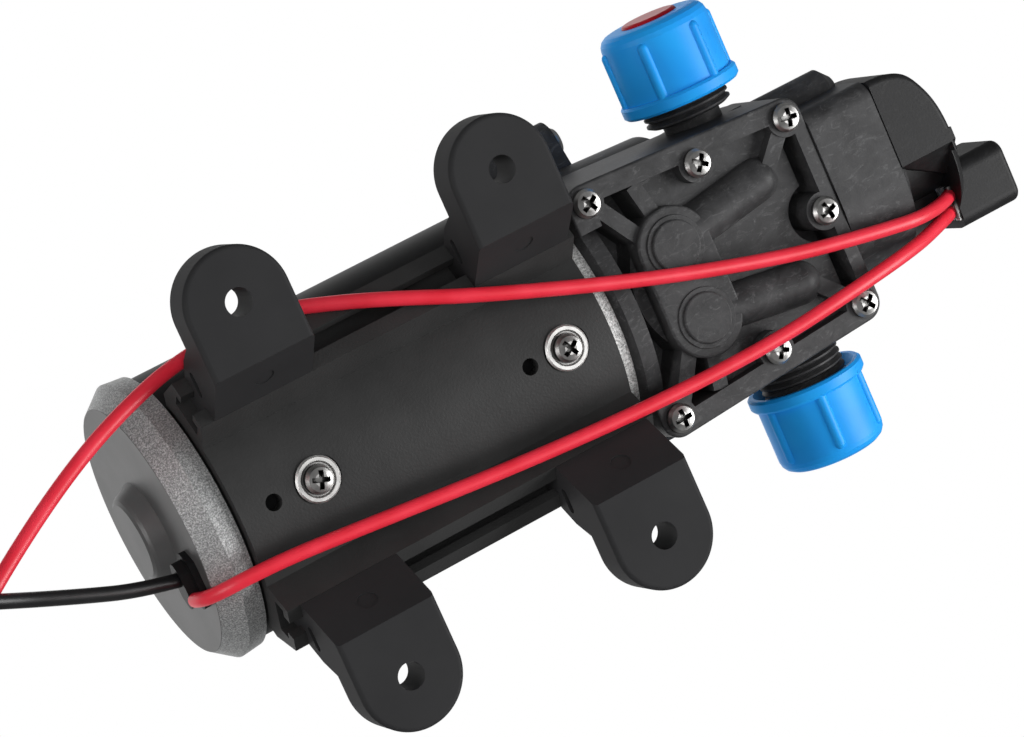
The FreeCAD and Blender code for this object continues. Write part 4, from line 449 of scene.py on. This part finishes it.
# Transport plugs
# Soft glossy polyethylene caps that keep dirt out until the hoses are fitted.
red_pe, tree, shader, place = material("red_polyethylene")
sheen = add(tree, "TexNoise", {"Scale": 300.0, "Detail": 2.0}, {"Vector": place})
tone = add(tree, "ValToRGB", links={"Fac": sheen.outputs["Fac"]},
           stops=((0.3, "#A80D1C"), (0.7, "#BE1425")))
tree.links.new(tone.outputs["Color"], shader.inputs["Base Color"])
shader.inputs["Roughness"].default_value = 0.32
shader.inputs["IOR"].default_value = 1.51
shader.inputs["Specular IOR Level"].default_value = 0.2
dress("inlet_transport_plug", red_pe)
dress("outlet_transport_plug", red_pe)

# Wire entry seal
# Two-part potting resin at the switch's wire entry: shiny, lumpy, with silvery skinned blobs.
resin, tree, shader, place = material("cast_potting_resin")
blobs = add(tree, "TexNoise", {"Scale": 700.0, "Detail": 2.0}, {"Vector": place})
tone = add(tree, "ValToRGB", links={"Fac": blobs.outputs["Fac"]},
           stops=((0.4, "#2A2A2A"), (0.62, "#A5A4A2")))
tree.links.new(tone.outputs["Color"], shader.inputs["Base Color"])
bump = add(tree, "Bump", {"Strength": 0.8, "Distance": 0.0006}, {"Height": blobs.outputs["Fac"]})
tree.links.new(bump.outputs[0], shader.inputs["Normal"])
shader.inputs["Roughness"].default_value = 0.15
dress("wire_entry_seal", resin)


# Works inside
# Turned steel, laminations, enamelled copper, ceramic, carbon, acetal and rubber. They show only
# when the pump is opened, so each finish is plain but its own: after its two colours come its
# feature size in millimetres, how metallic it is and its roughness.
band_pitch_mm = 314.0


def inner_finish(name, dark, light, feature_mm, metallic, roughness, banded=False):
    """Finish of a hidden piece: tone at its own feature size, in bands across the motor or not.
    A wave texture at scale 1 has its bands band_pitch_mm apart."""
    finish, tree, shader, place = material(name)
    if banded:
        source = add(tree, "TexWave", {"Scale": band_pitch_mm / feature_mm}, {"Vector": place},
                     bands_direction="X").outputs["Fac"]
    else:
        source = add(tree, "TexNoise", {"Scale": 1000.0 / feature_mm, "Detail": 3.0},
                     {"Vector": place}).outputs["Fac"]
    tone = add(tree, "ValToRGB", links={"Fac": source}, stops=((0.3, dark), (0.7, light)))
    tree.links.new(tone.outputs["Color"], shader.inputs["Base Color"])
    bump = add(tree, "Bump", {"Strength": 0.2, "Distance": 0.0001}, {"Height": source})
    tree.links.new(bump.outputs[0], shader.inputs["Normal"])
    shader.inputs["Metallic"].default_value = metallic
    shader.inputs["Roughness"].default_value = roughness
    return finish


for finish, group in (
        (inner_finish("turned_steel", "#8F9092", "#B5B6B8", 0.4, 1.0, 0.3, banded=True),
         ("motor_shaft", "eccentric", "eccentric_grub_screw", "rear_bush",
          "front_bearing_inner_ring", "front_bearing_outer_ring", "eccentric_bearing_inner_ring",
          "eccentric_bearing_outer_ring", "switch_spring", "brush_springs",
          "diaphragm_clamp_screw")),
        (inner_finish("core_laminations", "#3A3B3D", "#6A6B6E", 1.0, 0.8, 0.5, banded=True),
         ("armature_core",)),
        (inner_finish("enamelled_copper", "#6B2F14", "#B4632F", 0.8, 0.7, 0.35, banded=True),
         ("armature_windings",)),
        (inner_finish("commutator_copper", "#A86A3C", "#CB8E5C", 0.5, 1.0, 0.3, banded=True),
         ("commutator",)),
        (inner_finish("ceramic_magnet", "#2A2A2C", "#3A3A3D", 0.8, 0.0, 0.6), ("magnets",)),
        (inner_finish("carbon_brush", "#18181A", "#28282B", 0.5, 0.2, 0.5), ("brushes",)),
        (inner_finish("pale_acetal", "#CFCDC6", "#DEDCD5", 3.0, 0.0, 0.4),
         ("brush_holder", "connecting_rod", "diaphragm_clamp_plate", "valve_plate", "switch_piston",
          "microswitch_button")),
        (inner_finish("black_epdm_rubber", "#151516", "#202021", 0.6, 0.0, 0.7),
         ("diaphragm", "valve_gasket", "inlet_valve", "outlet_valve", "pressure_diaphragm")),
        (inner_finish("microswitch_case", "#141416", "#1D1D20", 1.5, 0.0, 0.4), ("microswitch",))):
    for name in group:
        dress(name, finish)
